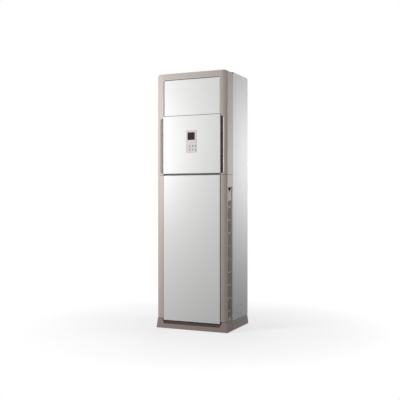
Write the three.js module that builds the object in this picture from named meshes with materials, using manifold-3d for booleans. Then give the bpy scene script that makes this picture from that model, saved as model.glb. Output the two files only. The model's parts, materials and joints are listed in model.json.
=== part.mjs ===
// Floor standing air conditioner: a cabinet unit with a shutter door over its outlet.
// Millimetres, +Z up, the front faces -Y, the origin is on the floor under the middle.
import * as THREE from 'three';
import { mergeVertices } from 'three/addons/utils/BufferGeometryUtils.js';
import Module from 'manifold-3d';

const wasm = await Module();
wasm.setup();

// ---------------------------------------------------------------- driving dimensions
// Cabinet
const BODY_W = 540;
const BODY_D = 420;
const BODY_H = 1825;
const COVER_D = 115; // how far the front mouldings wrap round the sides
const WALL = 3; // moulded plastic wall
const SHEET = 1.2; // sheet steel
const SEAM = 2; // visible shadow gap between large pieces
const FIT = 0.5; // clearance between pieces that seat on each other

// Plinth
const PLINTH_H = 70;
const PLINTH_FLARE = 5; // the foot stands out this far at the floor
const PLINTH_INSET = 2.2; // its top edge stands in by this much
const PAN_FLOOR_Z = 12;
const PAN_FLOOR_T = 2;
const PAN_LIP = 40; // height of the pan's front part, inside the plinth cover
const PAN_INSET = 9; // clearance of that part to the cover's outside
const TOE_Z = 31; // lower edge of the toe recess
const TOE_STEP = 15; // height of the shallow shelf in it
const TOE_DEPTH = 16;
const TOE_SHELF = 8;
const TOE_BORDER_TOP = 41; // plinth left beside the recess, at its top
const TOE_CHAMFER = 15; // its lower corners are cut in by this much

// Front mouldings
const CROWN_W = 48; // curved part of the front at each vertical edge
const CROWN_R = 115;
const CORNER_R = 20; // top corners seen from the front
const COLUMN_W = 51.5; // frame beside the outlet
const TOP_BORDER = 45; // frame above the outlet
const OUTLET_H = 261;
const OUTLET_CORNER = 12;
const CONTROL_H = 411;
const CONTROL_PROUD = 3.5;
const CONTROL_LAP = 2.5; // the control panel laps over the frame's window
const PANEL_GAP = 13; // between the control panel and the lower panel
const PANEL_CHAMFER = 1.5;
const POCKET_DEPTH = 14; // pocket in the frame behind the control panel, open as finger grooves
const GROOVE_W = 29; // groove beside the control panel
const GROOVE_SLANT = 14; // its outer wall leans out by this much
const GROOVE_CHAMFER = 13;
const GROOVE_TOP = 14; // the grooves end this far below the panel's top edge
const LOWER_PROUD = 3;
const LOWER_LAP = 12; // the lower panel hangs over the plinth
const LOWER_DEPTH = 12; // depth of its side walls
const BAR_T = 3; // cross bars of the frames
const BAR_H = 14;

// Lower panel's hooks over the lower frame's top bar
const HOOK_X = 150;
const HOOK_W = 16;
const HOOK_LEG = 3;
const HOOK_T = 1.6;
const HOOK_PLAY = 2;

// Shutter door over the outlet; it slides down and back on slanted guides
const DOOR_SLOPE = 0.08;
const DOOR_RECESS = 3;
const DOOR_SKIN = 2.5;
const DOOR_GAP = 1.5; // round its edges
const DOOR_LIP = 2.5; // what stays above the control panel when it is open
const DOOR_RAIL_W = 4;
const DOOR_RACK_W = 8;
const DOOR_PIN_R = 3;
const DOOR_PIN_IN = 22; // guide pins stand this far inside the door's ends
const DOOR_RIB_H = 4;
const DOOR_RIBS = 3;
const GUIDE_CLEAR = 0.5;

// Rack and pinion
const GEAR_MODULE = 3;
const PINION_TEETH = 10;
const PRESSURE_ANGLE = 20;
const RACK_ADDENDUM = 1.7;
const PINION_ADDENDUM = 2;
const GEAR_ROOT_CLEAR = 0.5;
const BACKLASH = 0.5;
const SHAFT_R = 4;
const DRIVE_DROP = 19; // drive shaft below the control panel's top edge
const DRIVE_SETBACK = 59; // and behind the frame's face

// Outlet duct
const DUCT_WALL = 3;
const DUCT_BACK = 170; // rear end behind the frame's face
const DUCT_SILL = 82; // its floor starts here, behind the door's parking space
const CHEEK_FOOT = 294; // the side cheeks reach this far below the outlet
const DUCT_FLANGE = 16;
const BEARING_CLEAR = 0.4;
const PIVOT_SIDES = 6; // pivots and their bores are drawn with this many faces

// Horizontal louvre blades
const LOUVRE_COUNT = 6;
const LOUVRE_CHORD = 52;
const LOUVRE_T = 4;
const LOUVRE_SETBACK = 53; // pivot behind the frame's face
const LOUVRE_END = 17; // blade ends stop this far inside the cheeks
const LOUVRE_CRANK = 18;
const LOUVRE_LOW_IN = 33; // lowest pivot above the control panel's top edge
const LOUVRE_TOP_IN = 24; // highest pivot below the top of the outlet
const PIVOT_R = 3;
const CRANK_PIN_R = 2;
const LINK_W = 9;
const LINK_T = 3;

// Vertical air vanes
const VANE_COUNT = 6;
const VANE_CHORD = 56;
const VANE_T = 2.5;
const VANE_SETBACK = 115;
const VANE_CRANK = 22;
const VANE_NOTCH = 10;

// Intake grille and filter in each side strip
const GRILLE_FRONT = 15; // behind the frame's face
const GRILLE_BACK = 25; // before the front moulding's rear edge
const GRILLE_HEAD = 85; // below the top of the lower frame
const GRILLE_T = 4;
const GRILLE_RECESS = 2;
const GRILLE_BORDER = 8;
const GRILLE_BLANK = 96; // closed field at its top
const GRILLE_FOOT = 22; // closed field at its bottom
const SLAT_COUNT = 4;
const SLAT_W = 2.4;
const SLAT_D = 9;
const SLAT_SET = 2; // the slats stand this far behind its face, and carry the cross bars
const SLAT_ROOT = 3; // slats and bars run this far into the border
const GRILLE_RIB_W = 5; // the rearmost slat is a stiffening rib
const CROSSBAR_COUNT = 9;
const CROSSBAR_W = 4;
const CROSSBAR_SET = 0.5; // behind its face
const NOTCH_H = 30; // triangular finger notch
const CHEVRON_T = 5;
const CHEVRON_PROUD = 1.2;
const FILTER_T = 6;
const FILTER_GAP = 2;
const FILTER_RIB = 4;
const FILTER_MESH = 1;
const FILTER_BARS = 4;

// Control field
const BEZEL_W = 81;
const BEZEL_H = 158;
const BEZEL_DROP = 106; // below the control panel's top edge
const BEZEL_PROUD = 1.5;
const BEZEL_T = 2.5;
const BEZEL_CASE = 13; // depth of its box behind the plate
const WINDOW_W = 56;
const WINDOW_H = 54;
const WINDOW_DROP = 14;
const BUTTON_W = 15;
const BUTTON_H = 9;
const BUTTON_PITCH_X = 23;
const BUTTON_PITCH_Z = 24;
const BUTTON_DROP = 112; // first row below the bezel's top edge
const BUTTON_TRAVEL = 1.2;
const BUTTON_LIP = 1.5;
const BUTTON_CLEAR = 0.4;
const BOARD_T = 1.6;

// Blower
const WHEEL_R = 160;
const WHEEL_W = 105;
const WHEEL_BLADES = 24;
const WHEEL_BLADE_T = 1.6;
const WHEEL_BLADE_DEPTH = 24;
const WHEEL_RIM_T = 3;
const HUB_R = 16;
const FAN_HEIGHT = 320; // wheel axis above the plinth
const SCROLL_GAP = 20; // least gap between wheel and scroll
const SCROLL_GROW = 60;
const SCROLL_T = 2.5;
const SCROLL_NECK = 290; // from the axis up to the deck
const SCROLL_CUTOFF = 35; // degrees from straight up
const SCROLL_FRONT = 172; // behind the frame's face
const WHEEL_CLEAR = 10; // before and behind the wheel
const INLET_R = 126;
const INLET_LIP = 14;
const MOTOR_R = 62;
const MOTOR_L = 80;
const MOTOR_SHAFT_R = 6;
const WHEEL_BACK = 28; // motor shaft's reach into the wheel
const BRACKET_T = 2.5;
const BRACKET_W = 34;
const BRACKET_REACH = 60; // its arms stand this far outside the motor
const BRACKET_SOLE = 24;

// Evaporator, drain pan and pipes
const COIL_L = 740;
const COIL_T = 44;
const COIL_SIDE = 40; // clear of the side panels
const COIL_FINS = 10;
const COIL_GROOVE = 5;
const COIL_FOOT_SETBACK = 126; // its foot behind the frame's face
const COIL_HEAD_SETBACK = 45; // its head before the rear
const COIL_TUBE_R = 5;
const COIL_BENDS = 4;
const TUBE_SHEET_T = 1.6;
const PAN_H = 42;
const PAN_FRONT = 98;
const PAN_REAR = 171;
const PAN_SIDE = 22;
const GAS_PIPE_R = 9.5;
const LIQUID_PIPE_R = 5;
const FLARE_NUT_R = 14;
const FLARE_NUT_L = 22;
const PIPE_REAR = 34; // pipes before the rear
const PIPE_END_Z = 150; // flare ends above the floor

// Partition and control box
const PARTITION_SETBACK = 93;
const BOX_W = 300;
const BOX_H = 270;
const BOX_D = 58;
const BOX_RISE = 70; // above the fan deck
const BOARD_W = 190;
const BOARD_H = 150;
const POST_IN = 8; // standing posts inside the board's corners
const BOARD_ROW = 10; // between its components: width, height and depth each
const TRANSFORMER = [44, 38, 30];
const RELAY = [18, 16, 16];
const CHIP = [32, 14, 3];
const PLUG = [22, 10, 9];
const CAPACITOR_R = 13;
const CAPACITOR_H = 34;
const TERMINAL_W = 90;

// Casing sheets
const SIDE_FOLD = 18; // front fold of a side panel
const REAR_FLANGE = 20;
const SWAGE_W = 40; // pressed grooves down the rear panel
const SWAGE_D = 3;
const SWAGE_END = 120; // they stop this far from its ends

// Side panels' knock-out for the pipes
const KNOCK_L = 105;
const KNOCK_H = 58;
const KNOCK_R = 16;
const KNOCK_Y = 38;
const KNOCK_RISE = 62; // centre above the plinth
const KNOCK_SLOT = 1.6;
const KNOCK_TAB = 8;

// ---------------------------------------------------------------- planes worked out from them
const SIDE_X = BODY_W / 2;
const FACE_Y = -BODY_D / 2;
const REAR_Y = BODY_D / 2;
const COVER_Y = FACE_Y + COVER_D;
const OUTLET_X = SIDE_X - COLUMN_W;
const OUTLET_TOP = BODY_H - TOP_BORDER;
const CONTROL_TOP = OUTLET_TOP - OUTLET_H;
const CONTROL_FOOT = CONTROL_TOP - CONTROL_H;
const CONTROL_X = OUTLET_X + CONTROL_LAP;
const LOWER_TOP = CONTROL_FOOT - PANEL_GAP;
const LOWER_FOOT = PLINTH_H - LOWER_LAP;
const LOWER_X = OUTLET_X + 1;
const SPLIT_Z = LOWER_TOP + 2; // seam between the two frames
const FRAME_FOOT = PLINTH_H + SEAM;
const POCKET_Y = FACE_Y + POCKET_DEPTH;
const CHEEK_X = OUTLET_X + FIT;
const DECK_Z = PLINTH_H + FAN_HEIGHT + SCROLL_NECK;
const FAN_Z = PLINTH_H + FAN_HEIGHT;
const FAN_X = SCROLL_GROW / 2 - 7;
const STEEL_X = SIDE_X - SHEET; // inside of the side panels
const PARTITION_Y = FACE_Y + PARTITION_SETBACK;
const DUCT_FLOOR = CONTROL_TOP - 7;
const DUCT_CEILING = OUTLET_TOP + DUCT_WALL; // its inner face

// ---------------------------------------------------------------- solids
const GRID = 1024; // corners lie on a grid of 1/1024 mm, so faces meant to be level are exactly level
const SLIVER = 0.01; // joins leave no needles thinner than this

function solid(geometry) {
  const bare = new THREE.BufferGeometry();
  const snapped = Float32Array.from(geometry.attributes.position.array, (v) => Math.round(v * GRID) / GRID);
  bare.setAttribute('position', new THREE.BufferAttribute(snapped, 3));
  bare.setIndex(geometry.index);
  const merged = mergeVertices(bare, 1e-4);
  const index = merged.index.array;
  const corners = merged.attributes.position;
  const faces = [];
  const a = new THREE.Vector3();
  const b = new THREE.Vector3();
  const c = new THREE.Vector3();
  let volume = 0;
  for (let i = 0; i < index.length; i += 3) {
    const [p, q, r] = [index[i], index[i + 1], index[i + 2]];
    if (p === q || q === r || r === p) continue;
    faces.push(p, q, r);
    a.fromBufferAttribute(corners, p);
    b.fromBufferAttribute(corners, q);
    c.fromBufferAttribute(corners, r);
    volume += a.dot(b.cross(c));
  }
  if (volume < 0) faces.reverse();
  const mesh = new wasm.Mesh({
    numProp: 3,
    vertProperties: Float32Array.from(corners.array),
    triVerts: Uint32Array.from(faces),
  });
  return new wasm.Manifold(mesh);
}

function geometryOf(body) {
  const mesh = body.asOriginal().simplify(SLIVER).getMesh();
  const geometry = new THREE.BufferGeometry();
  geometry.setAttribute('position', new THREE.BufferAttribute(Float32Array.from(mesh.vertProperties), 3));
  geometry.setIndex(new THREE.BufferAttribute(Uint32Array.from(mesh.triVerts), 1));
  geometry.computeVertexNormals();
  return geometry;
}

const join = (first, ...others) => others.reduce((sum, other) => sum.add(other), first);
const cut = (body, ...tools) => tools.reduce((rest, tool) => rest.subtract(tool), body);
const common = (first, ...others) => others.reduce((sum, other) => sum.intersect(other), first);

function mirrored(body) {
  return solid(geometryOf(body).scale(-1, 1, 1));
}

function block(x0, x1, y0, y1, z0, z1) {
  const geometry = new THREE.BoxGeometry(x1 - x0, y1 - y0, z1 - z0);
  return solid(geometry.translate((x0 + x1) / 2, (y0 + y1) / 2, (z0 + z1) / 2));
}

// A closed outline from corner points
function outline(points) {
  return new THREE.Shape(points.map(([x, y]) => new THREE.Vector2(x, y)));
}

function roundedRect(x0, x1, y0, y1, radius) {
  const shape = new THREE.Shape();
  shape.moveTo(x0 + radius, y0);
  shape.lineTo(x1 - radius, y0);
  shape.absarc(x1 - radius, y0 + radius, radius, -Math.PI / 2, 0, false);
  shape.lineTo(x1, y1 - radius);
  shape.absarc(x1 - radius, y1 - radius, radius, 0, Math.PI / 2, false);
  shape.lineTo(x0 + radius, y1);
  shape.absarc(x0 + radius, y1 - radius, radius, Math.PI / 2, Math.PI, false);
  shape.lineTo(x0, y0 + radius);
  shape.absarc(x0 + radius, y0 + radius, radius, Math.PI, 1.5 * Math.PI, false);
  return shape;
}

function extruded(shape, depth, curveSegments, bevel = 0) {
  return new THREE.ExtrudeGeometry(shape, {
    depth: depth - 2 * bevel,
    curveSegments,
    bevelEnabled: bevel > 0,
    bevelThickness: bevel,
    bevelSize: bevel,
    bevelOffset: -bevel,
    bevelSegments: 1,
  }).translate(0, 0, bevel);
}

// Prisms: the outline lies in XY, XZ or YZ and is drawn out along the third axis
function alongZ(shape, z0, z1, curveSegments = 4, bevel = 0) {
  return solid(extruded(shape, z1 - z0, curveSegments, bevel).translate(0, 0, z0));
}

function alongY(shape, y0, y1, curveSegments = 4, bevel = 0) {
  const geometry = extruded(shape, y1 - y0, curveSegments, bevel).rotateX(Math.PI / 2);
  return solid(geometry.translate(0, y1, 0));
}

function alongX(shape, x0, x1, curveSegments = 4, bevel = 0) {
  const turn = new THREE.Matrix4().makeBasis(
    new THREE.Vector3(0, 1, 0),
    new THREE.Vector3(0, 0, 1),
    new THREE.Vector3(1, 0, 0),
  );
  const geometry = extruded(shape, x1 - x0, curveSegments, bevel).applyMatrix4(turn);
  return solid(geometry.translate(x0, 0, 0));
}

function rodX(x0, x1, y, z, radius, sides = 8) {
  const geometry = new THREE.CylinderGeometry(radius, radius, x1 - x0, sides).rotateZ(Math.PI / 2);
  return solid(geometry.translate((x0 + x1) / 2, y, z));
}

function rodY(x, y0, y1, z, radius, sides = 8) {
  const geometry = new THREE.CylinderGeometry(radius, radius, y1 - y0, sides);
  return solid(geometry.translate(x, (y0 + y1) / 2, z));
}

function rodZ(x, y, z0, z1, radius, sides = 8) {
  const geometry = new THREE.CylinderGeometry(radius, radius, z1 - z0, sides).rotateX(Math.PI / 2);
  return solid(geometry.translate(x, y, (z0 + z1) / 2));
}

// Corner radius of a faceted bore that clears a round pin by the given amount
function boreRadius(pin, clearance) {
  return (pin + clearance) / Math.cos(Math.PI / PIVOT_SIDES);
}

// A body of revolution about an axis along Y; the profile lists [radius, y]
function turnedY(profile, x, z, sides) {
  const points = profile.map(([radius, y]) => new THREE.Vector2(radius, y));
  return solid(new THREE.LatheGeometry(points, sides).translate(x, 0, z));
}

// A round tube or rod along a smooth route
function tube(points, radius, sides, steps) {
  const route = new THREE.CatmullRomCurve3(points.map(([x, y, z]) => new THREE.Vector3(x, y, z)));
  const section = new THREE.Shape();
  section.absarc(0, 0, radius, 0, 2 * Math.PI, false);
  const options = { steps, extrudePath: route, curveSegments: sides, bevelEnabled: false };
  return solid(new THREE.ExtrudeGeometry(section, options));
}

// ---------------------------------------------------------------- finishes
function finish(colour, roughness, metalness = 0) {
  return { color: colour, roughness, metalness };
}

const WHITE_PLASTIC = finish(0xf4f4f3, 0.35);
const TAUPE_PLASTIC = finish(0xb9aea7, 0.4);
const DARK_TAUPE = finish(0x8b7e76, 0.45);
const WHITE_STEEL = finish(0xf0f0f0, 0.4);
const ZINC_STEEL = finish(0xaeb2b5, 0.35, 0.8);
const BLACK_PLASTIC = finish(0x1c1b1d, 0.45);
const GREY_PLASTIC = finish(0x8d9093, 0.5);
const WINDOW_TINT = finish(0x17131c, 0.1);
const BUTTON_PLASTIC = finish(0xe6dfd8, 0.35);
const BOARD_GREEN = finish(0x2f6b45, 0.5);
const COPPER = finish(0xb87345, 0.3, 0.9);
const ALUMINIUM = finish(0xc9ccce, 0.35, 0.85);
const FOAM_WHITE = finish(0xe9e9e6, 0.8);
const MESH_GREY = finish(0x55585c, 0.8);

// ---------------------------------------------------------------- plinth
function trapezoid(halfLow, halfTop, z0, z1) {
  return outline([[-halfLow, z0], [halfLow, z0], [halfTop, z1], [-halfTop, z1]]);
}

// The flared foot of the cabinet as a solid, all its sides moved in by the inset
function flaredFoot(inset, z0, z1) {
  const lean = (PLINTH_FLARE + PLINTH_INSET) / PLINTH_H;
  const half = (size, z) => size / 2 + PLINTH_FLARE - lean * z - inset;
  const wide = trapezoid(half(BODY_W, z0), half(BODY_W, z1), z0, z1);
  const deep = trapezoid(half(BODY_D, z0), half(BODY_D, z1), z0, z1);
  return common(alongY(wide, -BODY_D, BODY_D), alongX(deep, -BODY_W, BODY_W));
}

function basePan() {
  const rear = block(-BODY_W, BODY_W, COVER_Y + FIT / 2, BODY_D, -1, PLINTH_H + 1);
  const rim = common(flaredFoot(0, 0, PLINTH_H), rear);
  const frontX = SIDE_X - PAN_INSET;
  const front = block(-frontX, frontX, FACE_Y + TOE_DEPTH + PAN_INSET, COVER_Y + WALL, 0, PAN_LIP);
  const above = PAN_FLOOR_Z + PAN_FLOOR_T;
  const rearRoom = common(
    flaredFoot(WALL, -1, PLINTH_H + 2),
    block(-BODY_W, BODY_W, COVER_Y + FIT / 2 + WALL, BODY_D, -2, PLINTH_H + 2),
  );
  const frontRoomX = frontX - WALL;
  const frontRoomY = FACE_Y + TOE_DEPTH + PAN_INSET + WALL;
  const frontRoom = block(-frontRoomX, frontRoomX, frontRoomY, REAR_Y - PAN_INSET, -1, BODY_H);
  const room = join(rearRoom, frontRoom);
  const upper = common(room, block(-BODY_W, BODY_W, -BODY_D, BODY_D, above, BODY_H));
  const under = common(room, block(-BODY_W, BODY_W, -BODY_D, BODY_D, -1, PAN_FLOOR_Z));
  return cut(join(rim, front), upper, under);
}

function toeRecess(grow) {
  const topX = SIDE_X - TOE_BORDER_TOP + grow;
  const lowX = topX - TOE_CHAMFER;
  const shelfZ = TOE_Z + TOE_STEP;
  const mouth = outline([
    [-lowX, TOE_Z - grow], [lowX, TOE_Z - grow], [topX, TOE_Z + 2 * TOE_CHAMFER - grow],
    [topX, PLINTH_H + 1], [-topX, PLINTH_H + 1], [-topX, TOE_Z + 2 * TOE_CHAMFER - grow],
  ]);
  const shallow = alongY(mouth, FACE_Y - PLINTH_FLARE - 1, FACE_Y + TOE_SHELF + grow);
  const deepCut = block(-BODY_W, BODY_W, -BODY_D, FACE_Y + TOE_DEPTH + grow, shelfZ - grow, BODY_H);
  const deep = common(alongY(mouth, FACE_Y - PLINTH_FLARE - 1, FACE_Y + TOE_DEPTH + grow), deepCut);
  return join(shallow, deep);
}

function plinthCover() {
  const front = block(-BODY_W, BODY_W, -BODY_D, COVER_Y - FIT / 2, -1, PLINTH_H + 1);
  const outside = cut(common(flaredFoot(0, 0, PLINTH_H), front), toeRecess(0));
  const inside = cut(flaredFoot(WALL, -1, PLINTH_H + 2), toeRecess(WALL));
  return cut(outside, inside);
}

// ---------------------------------------------------------------- frames
// Plan of the front moulding: flat front, curved towards each side, moved in by the inset
function coverPlan(inset, rear) {
  const centreX = SIDE_X - CROWN_W;
  const centreY = FACE_Y + CROWN_R;
  const radius = CROWN_R - inset;
  const half = SIDE_X - inset;
  const end = Math.asin((half - centreX) / radius);
  const shape = new THREE.Shape();
  shape.moveTo(-half, rear);
  shape.lineTo(-half, centreY - radius * Math.cos(end));
  shape.absarc(-centreX, centreY, radius, -Math.PI / 2 - end, -Math.PI / 2, false);
  shape.lineTo(centreX, FACE_Y + inset);
  shape.absarc(centreX, centreY, radius, -Math.PI / 2, -Math.PI / 2 + end, false);
  shape.lineTo(half, rear);
  return shape;
}

function frontElevation(inset, z0, rounding) {
  const half = SIDE_X - inset;
  const top = BODY_H - inset;
  const shape = new THREE.Shape();
  shape.moveTo(-half, z0);
  shape.lineTo(half, z0);
  shape.lineTo(half, top - rounding);
  shape.absarc(half - rounding, top - rounding, rounding, 0, Math.PI / 2, false);
  shape.lineTo(-half + rounding, top);
  shape.absarc(-half + rounding, top - rounding, rounding, Math.PI / 2, Math.PI, false);
  return shape;
}

// The pocket behind the control panel with the finger grooves at its sides
function controlPocket(grow) {
  const rim = OUTLET_X + CONTROL_LAP + 1 + grow;
  const outer = CONTROL_X + GROOVE_W + grow;
  const shoulder = outer - GROOVE_CHAMFER;
  const top = CONTROL_TOP - GROOVE_TOP + grow;
  const foot = CONTROL_FOOT + 1 - grow;
  const right = [
    [rim, CONTROL_FOOT - 1 - grow], [rim, foot], [shoulder, foot], [outer, foot + GROOVE_CHAMFER],
    [outer, top - GROOVE_CHAMFER], [shoulder, top], [rim, top], [rim, CONTROL_TOP + 1 + grow],
  ];
  const left = right.map(([x, z]) => [-x, z]).reverse();
  const mouth = alongY(outline([...right, ...left]), FACE_Y - 1, POCKET_Y + grow);
  const floorX = outer - GROOVE_SLANT;
  const plan = outline([
    [-outer, FACE_Y - 1], [outer, FACE_Y - 1], [outer, FACE_Y], [floorX, POCKET_Y + grow],
    [-floorX, POCKET_Y + grow], [-outer, FACE_Y],
  ]);
  return common(mouth, alongZ(plan, 0, BODY_H));
}

function outletWindow(grow, y0, y1) {
  const half = OUTLET_X + grow;
  const radius = OUTLET_CORNER + grow;
  const top = OUTLET_TOP + grow;
  const shape = new THREE.Shape();
  shape.moveTo(-half, CONTROL_FOOT - 0.5);
  shape.lineTo(half, CONTROL_FOOT - 0.5);
  shape.lineTo(half, top - radius);
  shape.absarc(half - radius, top - radius, radius, 0, Math.PI / 2, false);
  shape.lineTo(-half + radius, top);
  shape.absarc(-half + radius, top - radius, radius, Math.PI / 2, Math.PI, false);
  return alongY(shape, y0, y1, 3);
}

function upperFrame() {
  const outside = common(
    alongZ(coverPlan(0, COVER_Y), SPLIT_Z + SEAM / 2, BODY_H, 4),
    alongY(frontElevation(0, 0, CORNER_R), FACE_Y - 1, COVER_Y + 1),
  );
  const inside = common(
    alongZ(coverPlan(WALL, COVER_Y + 2), SPLIT_Z - 1, BODY_H, 4),
    alongY(frontElevation(WALL, 0, CORNER_R - WALL), FACE_Y - 1, COVER_Y + 2),
  );
  const shell = cut(cut(outside, controlPocket(0)), cut(inside, controlPocket(WALL)));
  const window = outletWindow(0, FACE_Y - 5, FACE_Y + POCKET_DEPTH + WALL + 1);
  const barX = OUTLET_X + CONTROL_LAP + 2 * WALL;
  const bar = block(-barX, barX, POCKET_Y - 7, POCKET_Y + WALL, SPLIT_Z + SEAM / 2, CONTROL_FOOT - 1.5);
  return join(cut(shell, window), bar);
}

function lowerFrame() {
  const top = SPLIT_Z - SEAM / 2;
  const outside = alongZ(coverPlan(0, COVER_Y), FRAME_FOOT, top, 4);
  const inside = alongZ(coverPlan(WALL, COVER_Y + 2), FRAME_FOOT - 1, top + 1, 4);
  const windowX = LOWER_X + 1;
  const window = block(-windowX, windowX, FACE_Y - 1, FACE_Y + WALL + 1, FRAME_FOOT - 1, top + 1);
  const barY = FACE_Y + LOWER_DEPTH + 2;
  const barX = windowX + WALL;
  const jamb = block(windowX, barX, FACE_Y + 1, barY + BAR_T, FRAME_FOOT, top);
  const topBar = block(-barX, barX, barY, barY + BAR_T, LOWER_TOP - 2 - BAR_H, LOWER_TOP - 2);
  const footBar = block(-barX, barX, barY, barY + BAR_T, FRAME_FOOT, FRAME_FOOT + BAR_H);
  const shell = cut(outside, inside, window);
  const opening = grilleOpening(0);
  return cut(join(shell, jamb, mirrored(jamb), topBar, footBar), opening, mirrored(opening));
}

// ---------------------------------------------------------------- intake grilles and filters
const GRILLE_TOP = SPLIT_Z - GRILLE_HEAD;
const GRILLE_LOW = FRAME_FOOT + 4;
const GRILLE_Y0 = FACE_Y + GRILLE_FRONT;
const GRILLE_Y1 = COVER_Y - GRILLE_BACK;
const GRILLE_X = SIDE_X - GRILLE_RECESS;

function grilleOpening(inset) {
  return block(
    SIDE_X - 2 * WALL, SIDE_X + 1,
    GRILLE_Y0 - 1 + inset, GRILLE_Y1 + 4 - inset, GRILLE_LOW - 1 + inset, GRILLE_TOP + 1 - inset,
  );
}

function intakeGrille() {
  const y0 = GRILLE_Y0;
  const y1 = GRILLE_Y1;
  const middle = (y0 + y1) / 2;
  const slotY0 = y0 + GRILLE_BORDER;
  const slotY1 = y1 - GRILLE_BORDER;
  const slotZ0 = GRILLE_LOW + GRILLE_FOOT;
  const slotZ1 = GRILLE_TOP - GRILLE_BLANK;
  const plate = block(GRILLE_X - GRILLE_T, GRILLE_X, y0, y1, GRILLE_LOW, GRILLE_TOP);
  const field = block(GRILLE_X - 2 * GRILLE_T, GRILLE_X + 1, slotY0, slotY1, slotZ0, slotZ1);
  const notchHalf = (y1 - y0) / 2 - GRILLE_BORDER;
  const notch = outline([
    [middle - notchHalf, GRILLE_TOP - CHEVRON_T], [middle, GRILLE_TOP - CHEVRON_T - NOTCH_H],
    [middle + notchHalf, GRILLE_TOP - CHEVRON_T],
  ]);
  let body = cut(plate, field, alongX(notch, GRILLE_X - GRILLE_T - 1, GRILLE_X + 1));
  const slatPitch = (slotY1 - slotY0) / (SLAT_COUNT + 1);
  for (let i = 1; i <= SLAT_COUNT; i += 1) {
    const y = slotY0 + i * slatPitch;
    const half = (i === SLAT_COUNT ? GRILLE_RIB_W : SLAT_W) / 2;
    const slat = block(
      GRILLE_X - SLAT_D, GRILLE_X - SLAT_SET, y - half, y + half, slotZ0 - SLAT_ROOT, slotZ1 + SLAT_ROOT,
    );
    body = body.add(slat);
  }
  const [barX0, barX1] = [GRILLE_X - SLAT_SET, GRILLE_X - CROSSBAR_SET];
  const [barY0, barY1] = [slotY0 - SLAT_ROOT, slotY1 + SLAT_ROOT];
  const barPitch = (slotZ1 - slotZ0) / CROSSBAR_COUNT;
  for (let i = 0; i < CROSSBAR_COUNT; i += 1) {
    const z = slotZ0 + (i + 0.5) * barPitch;
    body = body.add(block(barX0, barX1, barY0, barY1, z - CROSSBAR_W / 2, z + CROSSBAR_W / 2));
  }
  const lift = notchHalf + GRILLE_BORDER / 2;
  const drop = CHEVRON_T * 1.2;
  const lip = outline([
    [middle - lift, GRILLE_TOP], [middle - notchHalf, GRILLE_TOP - CHEVRON_T],
    [middle, GRILLE_TOP - CHEVRON_T - NOTCH_H], [middle + notchHalf, GRILLE_TOP - CHEVRON_T],
    [middle + lift, GRILLE_TOP], [middle + lift, GRILLE_TOP - CHEVRON_T],
    [middle, GRILLE_TOP - CHEVRON_T - NOTCH_H - drop], [middle - lift, GRILLE_TOP - CHEVRON_T],
  ]);
  const foot = outline([
    [middle - lift, GRILLE_LOW], [middle + lift, GRILLE_LOW],
    [middle, GRILLE_LOW + GRILLE_FOOT * 2],
  ]);
  const lipBody = alongX(lip, GRILLE_X - 1, GRILLE_X + CHEVRON_PROUD);
  const footBody = alongX(foot, GRILLE_X - GRILLE_T, GRILLE_X + CHEVRON_PROUD);
  return join(body, lipBody, footBody);
}

function airFilter() {
  const x1 = GRILLE_X - SLAT_D - FILTER_GAP;
  const y0 = GRILLE_Y0 + GRILLE_BORDER / 2;
  const y1 = GRILLE_Y1 - GRILLE_BORDER / 2;
  const z0 = GRILLE_LOW + GRILLE_FOOT / 2;
  const z1 = GRILLE_TOP - GRILLE_BLANK + GRILLE_BORDER;
  const frame = block(x1 - FILTER_T, x1, y0, y1, z0, z1);
  const inner = block(
    x1 - FILTER_T - 1, x1 + 1, y0 + FILTER_RIB, y1 - FILTER_RIB, z0 + FILTER_RIB, z1 - FILTER_RIB,
  );
  const middleX = x1 - FILTER_T / 2;
  const mesh = block(middleX - FILTER_MESH / 2, middleX + FILTER_MESH / 2, y0 + 1, y1 - 1, z0 + 1, z1 - 1);
  let body = join(cut(frame, inner), mesh);
  const pitch = (z1 - z0) / (FILTER_BARS + 1);
  for (let i = 1; i <= FILTER_BARS; i += 1) {
    const z = z0 + i * pitch;
    body = body.add(block(x1 - FILTER_T + 1, x1 - 1, y0 + 1, y1 - 1, z - 1.5, z + 1.5));
  }
  const clipZ = GRILLE_TOP - GRILLE_BLANK + SLAT_ROOT + FIT;
  const clip = block(x1 - FILTER_T, GRILLE_X - GRILLE_T - FIT, y0, y1, clipZ, z1);
  return body.add(clip);
}

// ---------------------------------------------------------------- front panels
// A moulded panel: a skin with chamfered edges and walls round its back
function panelShell(half, z0, z1, front, depth) {
  const outer = roundedRect(-half, half, z0, z1, WALL);
  const body = alongY(outer, front, front + depth + 2 * PANEL_CHAMFER, 2, PANEL_CHAMFER);
  const trim = block(-BODY_W, BODY_W, front + depth, front + depth + BODY_D, 0, BODY_H);
  const room = block(-half + WALL, half - WALL, front + WALL, front + depth + 1, z0 + WALL, z1 - WALL);
  return cut(body, trim, room);
}

const CONTROL_Y = FACE_Y - CONTROL_PROUD;
const BEZEL_TOP = CONTROL_TOP - BEZEL_DROP;
const BEZEL_FOOT = BEZEL_TOP - BEZEL_H;

function controlPanel() {
  const depth = POCKET_Y - FIT - CONTROL_Y;
  const shell = panelShell(CONTROL_X, CONTROL_FOOT, CONTROL_TOP, CONTROL_Y, depth);
  const doorPath = CONTROL_Y + WALL + 0.5;
  const sill = block(
    -CONTROL_X + WALL, CONTROL_X - WALL, doorPath, BODY_D, CONTROL_TOP - 4 * WALL, CONTROL_TOP + 1,
  );
  const hole = block(
    -BEZEL_W / 2, BEZEL_W / 2, CONTROL_Y - 1, CONTROL_Y + WALL + 1, BEZEL_FOOT, BEZEL_TOP,
  );
  return cut(shell, sill, hole);
}

const LOWER_Y = FACE_Y - LOWER_PROUD;
const HOOK_BAR_Y = FACE_Y + LOWER_DEPTH + 2;

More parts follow.
